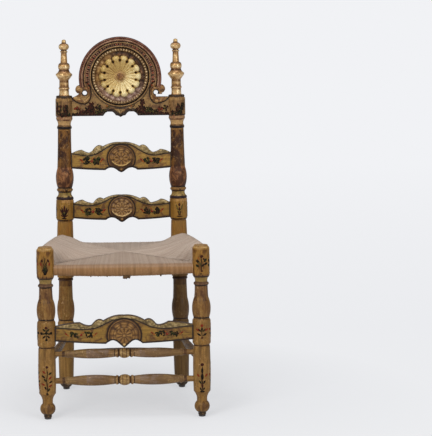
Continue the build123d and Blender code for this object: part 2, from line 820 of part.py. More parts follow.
back_slots = [
    rail_slots(back_plane, upper_half, upper_reach, upper_rail_bottom, upper_rail_height, back_rail_thickness),
    rail_slots(back_plane, lower_half, lower_reach, lower_rail_bottom, lower_rail_height, back_rail_thickness),
    board_slots(back_plane, crest_half, crest_reach, crest_bottom, crest_top, crest_thickness,
                crest_tenon_middle, crest_tenon_height),
]
stretcher_slot = rail_slots(stretcher_plane, stretcher_half, stretcher_reach, carved_stretcher_bottom,
                            carved_stretcher_height, carved_stretcher_thickness)

for word, side in sides.items():
    leg_plane = Plane(origin=(side * leg_x, front_y, 0), x_dir=(1, 0, 0), z_dir=(0, -1, 0))
    with BuildPart() as leg:
        add(turned(leg_plane, leg_steps))
        add(stretcher_slot, mode=Mode.SUBTRACT)
        add(peg_holes(*stretcher_peg), mode=Mode.SUBTRACT)
        for name in ("front_seat_rail", f"{word}_seat_rail", "upper_front_stretcher",
                     "lower_front_stretcher", f"{word}_side_stretcher"):
            add(members[name], mode=Mode.SUBTRACT)
        for hole in glide_holes:
            add(hole, mode=Mode.SUBTRACT)
    save(leg.part, f"{word}_front_leg")

    plane = post_plane(side)
    with BuildPart() as post:
        add(turned(plane, post_steps))
        for slot in back_slots:
            add(slot, mode=Mode.SUBTRACT)
        for peg in (upper_peg, lower_peg, crest_peg):
            add(peg_holes(*peg), mode=Mode.SUBTRACT)
        for name in ("rear_seat_rail", f"{word}_seat_rail", f"{word}_side_stretcher", "rear_stretcher"):
            add(members[name], mode=Mode.SUBTRACT)
        for hole in glide_holes:
            add(hole, mode=Mode.SUBTRACT)
        finial_hole = turned(plane, [
            (finial_tenon_radius + glue_gap, post_height - finial_tenon_length - 1, 0),
            (finial_tenon_radius + glue_gap, post_height + 1, 0)])
        add(finial_hole, mode=Mode.SUBTRACT)
    save(post.part, f"{word}_back_post")

    finial_plane = Plane(origin=plane.from_local_coords((0, post_height + glue_gap, 0)),
                         x_dir=plane.x_dir, z_dir=plane.z_dir)
    save(turned(finial_plane, finial_steps), f"{word}_finial")


# Rush seat: a saddle between four wrapped rails, hollow for its stuffing

def seat_section(share, inset, skin):
    """One cross-section of the saddle, at a share of the way from the front rail to the back one. It
    bows between its edges, so an edge that is drawn in lies nearer to the level of the middle."""
    back_end = level_post_point(1, rear_rail_height)
    y = front_y + inset + share * (back_end.Y - front_y - 2 * inset)
    run = (y - front_y) / (back_end.Y - front_y)
    outer_half = leg_x + run * (back_end.X - leg_x)
    half = outer_half - inset
    lift = 1 - (2 * run - 1) ** 4
    bow = (half / outer_half) ** 2
    end_height = front_rail_height + run * rear_rail_lift
    end_top = end_height + front_rush_radius
    end_bottom = end_height - front_rush_radius
    side_height = side_rail_front - run * side_rail_fall
    side_top = side_height + 0.8 * side_rush_radius
    side_bottom = side_height - 0.8 * side_rush_radius
    dip_top = (side_rail_front + side_rail_back) / 2 + 0.8 * side_rush_radius - seat_sag
    dip_bottom = dip_top - seat_thickness
    middle_top = end_top + lift * (dip_top - end_top)
    middle_bottom = end_bottom + lift * (dip_bottom - end_bottom)
    edge_top = middle_top + bow * lift * (side_top - dip_top)
    edge_bottom = middle_bottom + bow * lift * (side_bottom - dip_bottom)
    return y, half, edge_top - skin, edge_bottom + skin, middle_top - skin, middle_bottom + skin


def saddle(inset, skin):
    """The saddle's solid, drawn in by inset from the rails' axes and by skin from its faces."""
    with BuildPart() as body:
        for share in (0, 0.12, 0.5, 0.88, 1):
            y, half, edge_top, edge_bottom, middle_top, middle_bottom = seat_section(share, inset, skin)
            with BuildSketch(Plane(origin=(0, y, 0), x_dir=(1, 0, 0), z_dir=(0, -1, 0))):
                with BuildLine():
                    ThreePointArc((-half, edge_top), (0, middle_top - 0.01), (half, edge_top))
                    Line((half, edge_top), (half, edge_bottom))
                    ThreePointArc((half, edge_bottom), (0, middle_bottom - 0.01), (-half, edge_bottom))
                    Line((-half, edge_bottom), (-half, edge_top))
                make_face()
        loft()
    return body.part


def rush_roll(start, end, radius, start_clear, end_clear):
    """The rush wrapped round one rail, short of the uprights."""
    length = (end - start).length
    return turned(along(start, end), [(radius, start_clear, 0), (radius, length - end_clear, 0)])


def rail_channel(start, end, radius):
    """The room that a rail takes inside the rush."""
    length = (end - start).length
    return turned(along(start, end), [(radius + rush_gap, -30, 0), (radius + rush_gap, length + 30, 0)])


seat_rails = [
    (leg_point(-1, front_rail_height), leg_point(1, front_rail_height), seat_rail_radius, front_rush_radius),
    (level_post_point(-1, rear_rail_height), level_post_point(1, rear_rail_height), seat_rail_radius,
     front_rush_radius),
]
for side in sides.values():
    seat_rails.append((leg_point(side, side_rail_front), level_post_point(side, side_rail_back),
                       side_rail_radius, side_rush_radius))

stuffing_inset = side_rush_radius + rush_skin
with BuildPart() as rush_seat:
    add(saddle(0, 0))
    for start, end, radius, wrap in seat_rails:
        add(rush_roll(start, end, wrap, leg_capital_radius - 3, post_seat_block_radius - 3))
    for start, end, radius, wrap in seat_rails:
        add(rail_channel(start, end, radius), mode=Mode.SUBTRACT)
    for side in sides.values():
        leg_plane = Plane(origin=(side * leg_x, front_y, 0), x_dir=(1, 0, 0), z_dir=(0, -1, 0))
        add(turned(leg_plane, [(leg_capital_radius + rush_gap, leg_swell_top, 0),
                               (leg_capital_radius + rush_gap, front_leg_height + 40, 0)]),
            mode=Mode.SUBTRACT)
        add(turned(post_plane(side), [(post_seat_block_radius + rush_gap, post_seat_block_bottom, 0),
                                      (post_seat_block_radius + rush_gap, post_seat_block_top + 20, 0)]),
            mode=Mode.SUBTRACT)
    add(saddle(stuffing_inset, rush_skin), mode=Mode.SUBTRACT)
save(rush_seat.part, "rush_seat")

with BuildPart() as seat_stuffing:
    add(saddle(stuffing_inset + rush_gap, rush_skin + rush_gap))
save(seat_stuffing.part, "seat_stuffing")
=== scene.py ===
import math
import random

import bmesh
import bpy
import numpy as np
from mathutils import Matrix, Vector
from mathutils.bvhtree import BVHTree


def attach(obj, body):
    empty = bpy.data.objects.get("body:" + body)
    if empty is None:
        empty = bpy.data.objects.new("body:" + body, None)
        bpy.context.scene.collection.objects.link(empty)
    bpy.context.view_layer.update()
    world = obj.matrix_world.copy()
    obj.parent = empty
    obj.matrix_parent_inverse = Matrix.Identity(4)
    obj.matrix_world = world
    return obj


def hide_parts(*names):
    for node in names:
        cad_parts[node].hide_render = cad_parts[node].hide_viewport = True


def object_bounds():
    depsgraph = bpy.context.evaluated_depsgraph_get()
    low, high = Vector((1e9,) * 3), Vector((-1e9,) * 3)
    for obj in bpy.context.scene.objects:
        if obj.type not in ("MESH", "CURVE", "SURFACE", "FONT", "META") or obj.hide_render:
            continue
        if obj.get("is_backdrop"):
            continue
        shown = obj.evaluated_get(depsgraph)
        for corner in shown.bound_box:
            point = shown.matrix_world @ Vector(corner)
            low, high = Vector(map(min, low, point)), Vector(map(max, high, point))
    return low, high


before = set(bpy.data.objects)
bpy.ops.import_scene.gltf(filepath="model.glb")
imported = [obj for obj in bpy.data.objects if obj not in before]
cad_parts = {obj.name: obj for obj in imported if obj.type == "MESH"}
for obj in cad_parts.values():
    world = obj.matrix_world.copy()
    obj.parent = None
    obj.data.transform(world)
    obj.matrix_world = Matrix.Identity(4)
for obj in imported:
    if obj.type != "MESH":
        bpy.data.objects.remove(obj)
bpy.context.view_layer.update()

random.seed(7)
bpy.ops.object.select_all(action="DESELECT")

# The chair's main places, in millimetres and degrees
chair = {"frontY": -205.674, "backY": 182.326, "rake": 1.5, "lean": 0.5, "legX": 224.0, "postX": 178.5,
         "postTop": 905.0}
rake = math.radians(chair["rake"])
lean = math.radians(chair["lean"])


def backPoint(x, height, out):  # across, up the raked back, towards the sitter
    return Vector((x, chair["backY"] + height * math.sin(rake) - out * math.cos(rake),
                   height * math.cos(rake) + out * math.sin(rake))) / 1000


def frontPoint(x, height, out):  # the same on the plane of the front legs
    return Vector((x, chair["frontY"] - out, height)) / 1000


def postPoint(side, height):  # up the leaning axis of a back post
    return backPoint(side * (chair["postX"] - height * math.tan(lean)), height, 0)


bothSides = (("left", -1), ("right", 1))


# Node helpers

def hexColour(text):
    values = [int(text[i:i + 2], 16) / 255 for i in (1, 3, 5)]
    return [v / 12.92 if v <= 0.04045 else ((v + 0.055) / 1.055) ** 2.4 for v in values] + [1.0]


def newMaterial(name):
    material = bpy.data.materials.new(name)
    material.use_nodes = True
    return material, material.node_tree, material.node_tree.nodes["Principled BSDF"]


def feed(tree, socket, value):
    if isinstance(value, bpy.types.NodeSocket):
        tree.links.new(value, socket)
    elif isinstance(value, str):
        socket.default_value = hexColour(value)
    elif value is not None:
        socket.default_value = value


def objectCoords(tree, location=(0, 0, 0), rotation=(0, 0, 0)):
    coords = tree.nodes.new("ShaderNodeTexCoord")
    mapping = tree.nodes.new("ShaderNodeMapping")
    mapping.vector_type = "TEXTURE"
    mapping.inputs["Location"].default_value = location
    mapping.inputs["Rotation"].default_value = rotation
    tree.links.new(coords.outputs["Object"], mapping.inputs["Vector"])
    return mapping.outputs[0]


def stretch(tree, vector, scale):
    node = tree.nodes.new("ShaderNodeMapping")
    tree.links.new(vector, node.inputs["Vector"])
    node.inputs["Scale"].default_value = scale
    return node.outputs[0]


def noise(tree, vector, scale, detail=3.0, roughness=0.55, distortion=0.0):
    node = tree.nodes.new("ShaderNodeTexNoise")
    tree.links.new(vector, node.inputs["Vector"])
    node.inputs["Scale"].default_value = scale
    node.inputs["Detail"].default_value = detail
    node.inputs["Roughness"].default_value = roughness
    node.inputs["Distortion"].default_value = distortion
    return node.outputs["Fac"]


def calc(tree, operation, *values):
    node = tree.nodes.new("ShaderNodeMath")
    node.operation = operation
    for socket, value in zip(node.inputs, values):
        feed(tree, socket, value)
    return node.outputs[0]


def sway(tree, value, amount, base):  # the base, moved to either side by a noise
    return calc(tree, "MULTIPLY_ADD", calc(tree, "SUBTRACT", value, 0.5), amount, base)


def span(tree, value, low, high, toLow=0.0, toHigh=1.0):  # a clamped range
    node = tree.nodes.new("ShaderNodeMapRange")
    feed(tree, node.inputs["Value"], value)
    for name, number in (("From Min", low), ("From Max", high), ("To Min", toLow), ("To Max", toHigh)):
        node.inputs[name].default_value = number
    return node.outputs[0]


def ramp(tree, factor, stops, interpolation="LINEAR"):
    node = tree.nodes.new("ShaderNodeValToRGB")
    band = node.color_ramp
    band.interpolation = interpolation
    band.elements.remove(band.elements[1])
    band.elements[0].position = stops[0][0]
    band.elements[0].color = hexColour(stops[0][1])
    for position, colour in stops[1:]:
        band.elements.new(position).color = hexColour(colour)
    tree.links.new(factor, node.inputs["Fac"])
    return node.outputs["Color"]


def mix(tree, factor, first, second, mode="MIX"):
    node = tree.nodes.new("ShaderNodeMix")
    node.data_type = "RGBA"
    node.blend_type = mode
    feed(tree, node.inputs[0], factor)
    feed(tree, node.inputs[6], first)
    feed(tree, node.inputs[7], second)
    return node.outputs[2]


def attribute(tree, name, output="Fac"):
    node = tree.nodes.new("ShaderNodeAttribute")
    node.attribute_name = name
    return node.outputs[output]


def axes(tree, vector):
    node = tree.nodes.new("ShaderNodeSeparateXYZ")
    tree.links.new(vector, node.inputs[0])
    return node.outputs


def awayFrom(tree, a, b):  # distance from an axis, of two coordinates across it
    squares = [calc(tree, "MULTIPLY", value, value) for value in (a, b)]
    return calc(tree, "SQRT", calc(tree, "ADD", *squares))


def bump(tree, shader, height, strength, distance, under=None):
    node = tree.nodes.new("ShaderNodeBump")
    node.inputs["Strength"].default_value = strength
    node.inputs["Distance"].default_value = distance
    tree.links.new(height, node.inputs["Height"])
    if under:
        tree.links.new(under, node.inputs["Normal"])
    tree.links.new(node.outputs[0], shader.inputs["Normal"])
    return node.outputs[0]


def coat(tree, shader, colour, roughness, specular=None, metal=None):
    for name, value in (("Base Color", colour), ("Roughness", roughness), ("Specular IOR Level", specular),
                        ("Metallic", metal)):
        feed(tree, shader.inputs[name], value)


def bandedPaint(tree, level, reach, bands, patches, cloud, amount):  # two sets of hard bands, in patches
    ground, patch = [ramp(tree, level, [(place / reach, colour) for place, colour in stops], "CONSTANT")
                     for stops in (bands, patches)]
    return mix(tree, span(tree, cloud, *amount), ground, patch)


def specked(tree, local, colour, low, high, amount, dark):  # fine dark specks
    spots = span(tree, noise(tree, local, 620, 2), low, high)
    return mix(tree, calc(tree, "MULTIPLY", spots, amount), colour, dark)


def rubbed(tree, local, colour, fine, broad, amount, bare):  # paint rubbed thin here and there
    worn = calc(tree, "MULTIPLY", span(tree, noise(tree, local, fine[0], 4, 0.7), *fine[1:]),
                span(tree, noise(tree, local, broad[0], 2), *broad[1:]))
    return mix(tree, calc(tree, "MULTIPLY", worn, amount), colour, bare)


# Painted turnings: bands of colour up the piece's own axis, mottled, streaked along the grain, and worn

turningLook = {"wobble": 0.003, "mottle": 46.0, "grain": 240.0, "roughness": (0.4, 0.62)}


def turningMaterial(name, bands, patches, origin=(0, 0, 0), rotation=(0, 0, 0), length=1.1, axis=2,
                    patchAmount=(0.46, 0.56), footShade=0.0):
    material, tree, shader = newMaterial(name)
    look = turningLook
    local = objectCoords(tree, origin, rotation)
    height = axes(tree, local)[axis]
    if axis == 0:
        height = calc(tree, "ABSOLUTE", height)
    level = calc(tree, "DIVIDE", sway(tree, noise(tree, local, 70, 3), look["wobble"], height), length)
    squash = (1, 1, 0.5) if axis == 2 else (0.5, 1, 1)
    cloud = noise(tree, stretch(tree, local, squash), look["mottle"], 6, 0.66, 0.8)
    colour = bandedPaint(tree, level, 1000 * length, bands, patches, cloud, patchAmount)
    fine = (1, 1, 0.05) if axis == 2 else (0.05, 1, 1)
    streak = noise(tree, stretch(tree, local, fine), look["grain"], 4, 0.6)
    colour = mix(tree, 0.75, colour,
                 ramp(tree, streak, [(0.26, "#77624A"), (0.5, "#D2C6B2"), (0.74, "#FFFBF2")]),
                 "MULTIPLY")
    tone = noise(tree, local, 13, 4, 0.65)
    colour = mix(tree, span(tree, tone, 0.5, 0.68, 0.0, 0.42), colour, "#5C3A1A")
    colour = specked(tree, local, colour, 0.63, 0.68, 0.7, "#24140A")
    colour = rubbed(tree, local, colour, (150, 0.58, 0.68), (21, 0.48, 0.6), 0.6, "#C9A472")
    if footShade:  # painted shade, darker below the seat
        colour = mix(tree, span(tree, height, 0.435, 0.455, footShade, 0.0), colour, "#24160A")
    coat(tree, shader, colour, span(tree, noise(tree, local, 60, 3), 0.3, 0.7, *look["roughness"]), 0.22)
    first = bump(tree, shader, streak, 0.35, 0.0005)
    bump(tree, shader, cloud, 0.3, 0.0014, first)
    return material


def paintNode(names, material):
    for name in names:
        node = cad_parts[name]
        node.data.materials.clear()
        node.data.materials.append(material)


postBands = [
    (0, "#4A3A26"), (24, "#9C7840"), (214, "#4A3018"), (217, "#9C7840"), (318, "#7E5A2C"),
    (336, "#4A2E18"), (347, "#9C7638"), (477, "#4E3418"), (480, "#9A7234"), (517, "#7A5828"),
    (522, "#3E2814"), (525, "#9C7430"), (580, "#B48A50"), (588, "#2C1A20"), (597, "#B09456"),
    (608, "#3A2418"), (613, "#9A7440"), (621, "#241410"), (626, "#4E2C18"), (684, "#3A1E0C"),
    (799, "#A07A46"), (803, "#22140E"), (809, "#8C6A40"), (814, "#C8A26E"), (828, "#6A4430"),
    (831, "#AC8660"), (841, "#38241A"), (846, "#8C6A42"), (889, "#A88452"), (896, "#5E442A"),
    (901, "#2E241A"),
]
postPatches = [
    (0, "#33261A"), (24, "#A47E46"), (214, "#3E2812"), (217, "#8A622E"), (318, "#5A3A1C"),
    (347, "#AE8242"), (477, "#3C2610"), (480, "#A0702E"), (525, "#8E6A2E"), (587, "#22121A"),
    (598, "#8A7A44"), (609, "#1E100C"), (626, "#A8744A"), (684, "#805826"), (803, "#1A0E0A"),
    (809, "#5A4028"), (814, "#CCA876"), (831, "#96684C"), (846, "#624828"), (889, "#8A6A40"),
    (896, "#33281C"),
]
for word, side in bothSides:
    axisTurn = (-rake, -side * lean, 0)
    # The right post is painted darker: sparser light patches, and painted shade below the seat, where the
    # seat and the right front leg shade it
    worn, shade = ((0.47, 0.58), 0.0) if side < 0 else ((0.5, 0.62), 0.58)
    paintNode([f"{word}_back_post"], turningMaterial(
        f"{word}PostPaint", postBands, postPatches, postPoint(side, 0), axisTurn,
        patchAmount=worn, footShade=shade))

legBands = [
    (0, "#4A3A26"), (14, "#94703C"), (45, "#94703A"), (76, "#8C6A38"), (205, "#7C5C2E"), (210, "#54391C"),
    (214, "#8E6C38"), (284, "#7C5A2C"), (289, "#22160F"), (293, "#94703C"), (356, "#86623A"),
    (386, "#2A1A12"), (391, "#5E4230"), (396, "#2A1A12"), (399, "#A0844C"), (409, "#2A1A12"),
    (413, "#8A6232"), (420, "#A07634"), (490, "#A8824A"), (497, "#B8945C"), (500, "#6A4A28"),
    (501.5, "#AC864E"),
]
legPatches = [
    (0, "#33261A"), (14, "#6A4A26"), (45, "#8E6428"), (76, "#A07A42"), (210, "#4A3014"), (214, "#9C743A"),
    (289, "#160D08"), (293, "#7A552A"), (340, "#5E3E24"), (386, "#1E120C"), (391, "#7A5C44"),
    (396, "#1E120C"), (399, "#8E7C48"), (409, "#1E120C"), (420, "#70491A"), (490, "#98702E"),
    (497, "#CBAA74"), (500, "#54391C"), (501.5, "#946C36"),
]
for word, side in bothSides:
    foot = frontPoint(side * chair["legX"], 0, 0)
    paintNode([f"{word}_front_leg"], turningMaterial(f"{word}LegPaint", legBands, legPatches, foot))

stretcherBands = [
    (0, "#8E6E42"), (4, "#664A2A"), (7, "#9A7A4C"), (12, "#5E4224"), (16, "#3E2814"), (19, "#8A6840"),
    (26, "#3E2814"), (29, "#8C6C44"), (44, "#7E6242"), (172, "#5A3E22"), (180, "#8C6A3C"),
]
stretcherPatches = [
    (0, "#BA9A66"), (4, "#745632"), (7, "#C2A472"), (12, "#7A5A34"), (16, "#2E1C0E"), (19, "#AC8C60"),
    (26, "#2E1C0E"), (29, "#94785A"), (44, "#8A7464"), (110, "#8E7248"), (172, "#4A3018"),
    (180, "#9C7A48"),
]
paintNode(["upper_front_stretcher", "lower_front_stretcher"],
          turningMaterial("frontStretcherPaint", stretcherBands, stretcherPatches, axis=0, length=0.3))
paintNode(["left_side_stretcher", "right_side_stretcher", "rear_stretcher"],
          turningMaterial("sideStretcherPaint", [(0, "#6E5C4A"), (100, "#66503C")],
                          [(0, "#7C6C62"), (60, "#8A6E48")], axis=0, length=0.3))
print("turned pieces painted")


# Gilding over wood, rubbed in places, and darker brown in the hollows

def giltMaterial(name, bright, middle, dark, metal, hollows=None, origin=(0, 0, 0), rotation=(0, 0, 0)):
    material, tree, shader = newMaterial(name)
    local = objectCoords(tree, origin, rotation)
    wear = noise(tree, local, 90, 5, 0.65, 0.4)
    colour = ramp(tree, wear, [(0.3, dark), (0.46, middle), (0.66, bright)])
    if hollows:  # heights of turned grooves, which are made darker brown
        height = sway(tree, noise(tree, local, 80, 2), 0.002, axes(tree, local)[2])
        shade = ramp(tree, calc(tree, "DIVIDE", height, 0.2), [(h / 200, c) for h, c in hollows])
        colour = mix(tree, 1.0, colour, shade, "MULTIPLY")
    coat(tree, shader, colour, span(tree, noise(tree, local, 160, 3), 0.3, 0.7, 0.24, 0.42), metal=metal)
    bump(tree, shader, noise(tree, local, 420, 4, 0.6), 0.25, 0.0006)
    return material


finialHollows = [
    (0, "#A08468"), (4, "#FFF4E4"), (14, "#FFF8EC"), (18, "#A88A6C"), (22, "#FFF4E4"), (26, "#8A6C50"),
    (36, "#DCC8AC"), (45, "#86684C"), (50, "#E0CCB0"), (60, "#FFFAF0"), (66, "#E6D4B8"), (72, "#AC8E6E"),
    (77, "#5A4030"), (81, "#B89A78"), (87, "#FFFCF4"), (93, "#E6D2B4"), (97, "#6A4E38"), (102, "#D8C2A4"),
    (114, "#FFF6E6"), (127, "#D8C2A4"), (130, "#6A4E38"), (133, "#FFF6E6"), (137, "#6A4E38"),
    (142, "#DCC8AC"), (149, "#FFFCF4"), (156, "#B89A78"), (159, "#6A4E38"), (164, "#F4E6CC"),
    (170, "#C8BCA6"),
]
for word, side in bothSides:
    top = postPoint(side, chair["postTop"])
    paintNode([f"{word}_finial"], giltMaterial(f"{word}FinialGilt", "#F4E2B8", "#C29E6A", "#745430", 0.36,
                                               finialHollows, top, (-rake, -side * lean, 0)))
paintNode(["rosette_button"], giltMaterial("buttonGilt", "#A67A44", "#6E4520", "#33200F", 0.15))


def plainMaterial(name, light, dark, roughness, metal=0.0, squash=(1, 1, 1)):
    material, tree, shader = newMaterial(name)
    local = objectCoords(tree)
    cloud = noise(tree, stretch(tree, local, squash), 60, 5, 0.6, 0.5)
    coat(tree, shader, ramp(tree, cloud, [(0.3, dark), (0.7, light)]),
         span(tree, cloud, 0.3, 0.7, roughness, roughness + 0.12), metal=metal)
    bump(tree, shader, noise(tree, local, 500, 3), 0.2, 0.0004)
    return material


bareWood = plainMaterial("bareWood", "#9A7446", "#6A4A2A", 0.6, squash=(0.2, 1, 1))
paintNode(["front_seat_rail", "rear_seat_rail", "left_seat_rail", "right_seat_rail", "crest_rail_pegs",
           "upper_rail_pegs", "lower_rail_pegs", "front_stretcher_pegs"], bareWood)
paintNode(["foot_glides"], plainMaterial("darkIron", "#5A5654", "#2E2A28", 0.45, 0.7))


# Mesh helpers

def dressPiece(piece, material, replaced=(), fields=None):  # fields, normals, finish and body
    mesh = piece.data
    for field, values in (fields or {}).items():
        layer = mesh.attributes.new(field, "FLOAT_COLOR" if np.ndim(values) == 2 else "FLOAT", "POINT")
        layer.data.foreach_set("color" if np.ndim(values) == 2 else "value",
                               np.asarray(values, np.float32).ravel())
    work = bmesh.new()
    work.from_mesh(mesh)
    bmesh.ops.recalc_face_normals(work, faces=work.faces)
    work.to_mesh(mesh)
    work.free()
    mesh.polygons.foreach_set("use_smooth", [True] * len(mesh.polygons))
    mesh.materials.append(material)
    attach(piece, "root")
    if replaced:
        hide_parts(*replaced)
    return piece


def newPiece(name, points, edges, faces):
    mesh = bpy.data.meshes.new(name)
    mesh.from_pydata([tuple(p) for p in points], edges, faces)
    piece = bpy.data.objects.new(name, mesh)
    bpy.context.collection.objects.link(piece)
    return piece


def meshPiece(name, points, faces, material, replaced=(), fields=None):
    return dressPiece(newPiece(name, points, [], faces), material, replaced, fields)


def spunProfile(name, profile, centreY, sweep, steps):  # (radius, out) points spun about the roundel's axis
    start = -sweep / 2
    points = [backPoint(r * math.sin(start), centreY + r * math.cos(start), out) for r, out in profile]
    piece = newPiece(name, points, [(i, (i + 1) % len(points)) for i in range(len(points))], [])
    bpy.context.view_layer.objects.active = piece
    piece.select_set(True)
    bpy.ops.object.mode_set(mode="EDIT")
    bpy.ops.mesh.select_all(action="SELECT")
    turnAxis = backPoint(0, 0, 1) - backPoint(0, 0, 0)
    bpy.ops.mesh.spin(steps=steps, angle=sweep, center=backPoint(0, centreY, 0), axis=turnAxis.normalized())
    bpy.ops.mesh.select_all(action="SELECT")
    bpy.ops.mesh.remove_doubles(threshold=0.00002)
    bpy.ops.mesh.select_all(action="SELECT")
    bpy.ops.mesh.fill_holes(sides=len(profile))
    bpy.ops.mesh.select_all(action="SELECT")
    bpy.ops.mesh.normals_make_consistent(inside=False)
    bpy.ops.object.mode_set(mode="OBJECT")
    piece.select_set(False)
    return piece


def roundelPlaces(piece, centreY):  # each point's radius in millimetres and angle about the roundel's centre
    middle = backPoint(0, centreY, 0)
    up = (backPoint(0, 1, 0) - backPoint(0, 0, 0)).normalized()
    for vertex in piece.data.vertices:
        away = vertex.co - middle
        yield vertex, 1000 * math.hypot(away.x, away.dot(up)), math.atan2(away.x, away.dot(up))


def bell(value, width):  # one at nought, falling away
    return np.exp(-(value / width) ** 2)


def rise(value, low, high):  # a smooth step
    t = np.clip((value - low) / (high - low), 0, 1)
    return t * t * (3 - 2 * t)


def dome(value, radius):  # the height of a ball's top, one at its middle
    return np.sqrt(np.clip(1 - (value / radius) ** 2, 0, 1))


boardEdge = {"cell": 1.3, "soften": 2.2, "drop": 1.6}  # spacing of a board's mesh, and its worn edge


def wornEdge(d):  # how far the face falls away next to the outline
    return boardEdge["drop"] * (1 - dome(np.clip(d + boardEdge["soften"], 0, boardEdge["soften"]),
                                         boardEdge["soften"]))


def traceEdge(steps, side):  # the arcs of a board's edge as points
    points = []
    for (x0, y0, _), (x1, y1, bulge) in zip(steps, steps[1:]):
        count = 1 if bulge == 0 else 12
        cx, cy = (x0 + x1) / 2, (y0 + y1) / 2 + 2 * bulge
        for i in range(count):
            t = i / count
            points.append((side * ((1 - t) ** 2 * x0 + 2 * t * (1 - t) * cx + t * t * x1),
                           (1 - t) ** 2 * y0 + 2 * t * (1 - t) * cy + t * t * y1))
    points.append((side * steps[-1][0], steps[-1][1]))
    return points


def edgeDistance(x, y, loop):  # signed distance to a closed outline, negative inside
    best = np.full(x.shape, 1e9)
    inside = np.zeros(x.shape, bool)
    for (ax, ay), (bx, by) in zip(loop, loop[1:] + loop[:1]):
        dx, dy = bx - ax, by - ay
        length = dx * dx + dy * dy
        if length < 1e-9:
            continue
        t = np.clip(((x - ax) * dx + (y - ay) * dy) / length, 0, 1)
        best = np.minimum(best, np.hypot(x - ax - t * dx, y - ay - t * dy))
        crosses = (ay > y) != (by > y)
        if dy:
            inside ^= crosses & (x < ax + (y - ay) * dx / dy)
    return np.where(inside, -best, best)


# A carved board: shape gives the signed distance of its outline, relief the height of its face

def carveBoard(name, box, shape, relief, place, backDepth, material, replaced, fields):
    cell, nudge = boardEdge["cell"], 0.05
    xs = np.arange(box[0], box[1] + cell, cell)
    ys = np.arange(box[2], box[3] + cell, cell)
    gridX, gridY = np.meshgrid(xs, ys, indexing="ij")
    middleX, middleY = (gridX[:-1, :-1] + cell / 2), (gridY[:-1, :-1] + cell / 2)
    keep = shape(middleX, middleY) < 0
    used = np.zeros(gridX.shape, bool)
    full = np.ones(gridX.shape, bool)
    for i, j in ((0, 0), (1, 0), (0, 1), (1, 1)):
        part = (slice(i, gridX.shape[0] - 1 + i), slice(j, gridX.shape[1] - 1 + j))
        used[part] |= keep
        full[part] &= keep
    rim = used & ~full
    for _ in range(3):  # vertices of the rim are drawn onto the outline
        d = shape(gridX, gridY)
        slopeX = (shape(gridX + nudge, gridY) - shape(gridX - nudge, gridY)) / (2 * nudge)
        slopeY = (shape(gridX, gridY + nudge) - shape(gridX, gridY - nudge)) / (2 * nudge)
        size = np.maximum(slopeX ** 2 + slopeY ** 2, 0.2)
        gridX = np.where(rim, gridX - np.clip(d * slopeX / size, -cell, cell), gridX)
        gridY = np.where(rim, gridY - np.clip(d * slopeY / size, -cell, cell), gridY)
    index = np.full(gridX.shape, -1)
    index[used] = np.arange(used.sum())
    x, y = gridX[used], gridY[used]
    d = shape(x, y)
    z = relief(x, y, d)
    count = len(x)
    corners = (index[:-1, :-1], index[1:, :-1], index[1:, 1:], index[:-1, 1:])
    faces = np.stack([corner[keep] for corner in corners], 1)
    sides = {}
    for quad in faces:
        for p, q in zip(quad, np.roll(quad, -1)):
            if (q, p) in sides:
                del sides[(q, p)]
            else:
                sides[(p, q)] = True
    allFaces = [tuple(int(v) for v in f) for f in faces]
    allFaces += [tuple(int(v) + count for v in f[::-1]) for f in faces]
    allFaces += [(int(q), int(p), int(p) + count, int(q) + count) for p, q in sides]
    points = [place(*p) for p in zip(x, y, z)] + [place(px, py, -backDepth) for px, py in zip(x, y)]
    values = {k: np.concatenate([f(x, y, d, z), np.full(count, 99.0)]) for k, f in fields.items()}
    values["back"] = np.concatenate([np.zeros(count), np.ones(count)])
    return meshPiece(name, points, allFaces, material, replaced, values)


# Painted boards. Fields: line is the distance to a dark line, rim how far above the border groove,
# medal how far inside the medallion, and lift the height of the carving.

def boardMaterial(name, field, patch, rimColours, medalColours, lift):
    material, tree, shader = newMaterial(name)
    local = objectCoords(tree)
    cloud = noise(tree, local, 38, 5, 0.62, 0.8)
    colour = mix(tree, span(tree, cloud, 0.47, 0.6), field, patch)
    tint = noise(tree, local, 75, 4, 0.6, 1.0)
    rimColour = ramp(tree, tint, list(zip((0.34, 0.46, 0.56, 0.68), rimColours)))
    flutter = noise(tree, local, 160, 3)
    rimAt = sway(tree, flutter, 1.2, attribute(tree, "rim"))
    colour = mix(tree, span(tree, rimAt, -0.2, 0.5), colour, rimColour)
    # The medallion's carving is coloured by its height: painted shade in the low parts, painted highlight on
    # the high ones
    height = sway(tree, tint, 2.2, attribute(tree, "lift"))
    medalColour = ramp(tree, span(tree, height, *lift), medalColours)
    colour = mix(tree, span(tree, attribute(tree, "medal"), -0.3, 0.4), colour, medalColour)
    edge = sway(tree, flutter, 1.4, attribute(tree, "line"))
    colour = mix(tree, span(tree, edge, 1.3, 2.3, 0.95, 0.0), colour, "#170D0A")
    # a soft painted shade beside the dark lines, along the grooves, the lower edges and the ends by the posts
    colour = mix(tree, span(tree, attribute(tree, "line"), 1.0, 6.5, 0.36, 0.0), colour, "#3A2412")
    backWood = ramp(tree, noise(tree, stretch(tree, local, (0.1, 1, 1)), 120, 4),
                    [(0.3, "#4E3620"), (0.7, "#7A5A38")])
    colour = mix(tree, span(tree, attribute(tree, "back"), 0.02, 0.1), colour, backWood)
    grain = noise(tree, stretch(tree, local, (0.06, 1, 1)), 300, 4, 0.6)
    colour = mix(tree, 0.75, colour,
                 ramp(tree, grain, [(0.25, "#7E7468"), (0.52, "#D2CCC4"), (0.76, "#FFFCF6")]),
                 "MULTIPLY")
    colour = specked(tree, local, colour, 0.64, 0.7, 0.5, "#2A1A10")
    coat(tree, shader, colour, span(tree, cloud, 0.3, 0.7, 0.38, 0.6), 0.3)
    first = bump(tree, shader, grain, 0.25, 0.0004)
    bump(tree, shader, cloud, 0.2, 0.001, first)
    return material
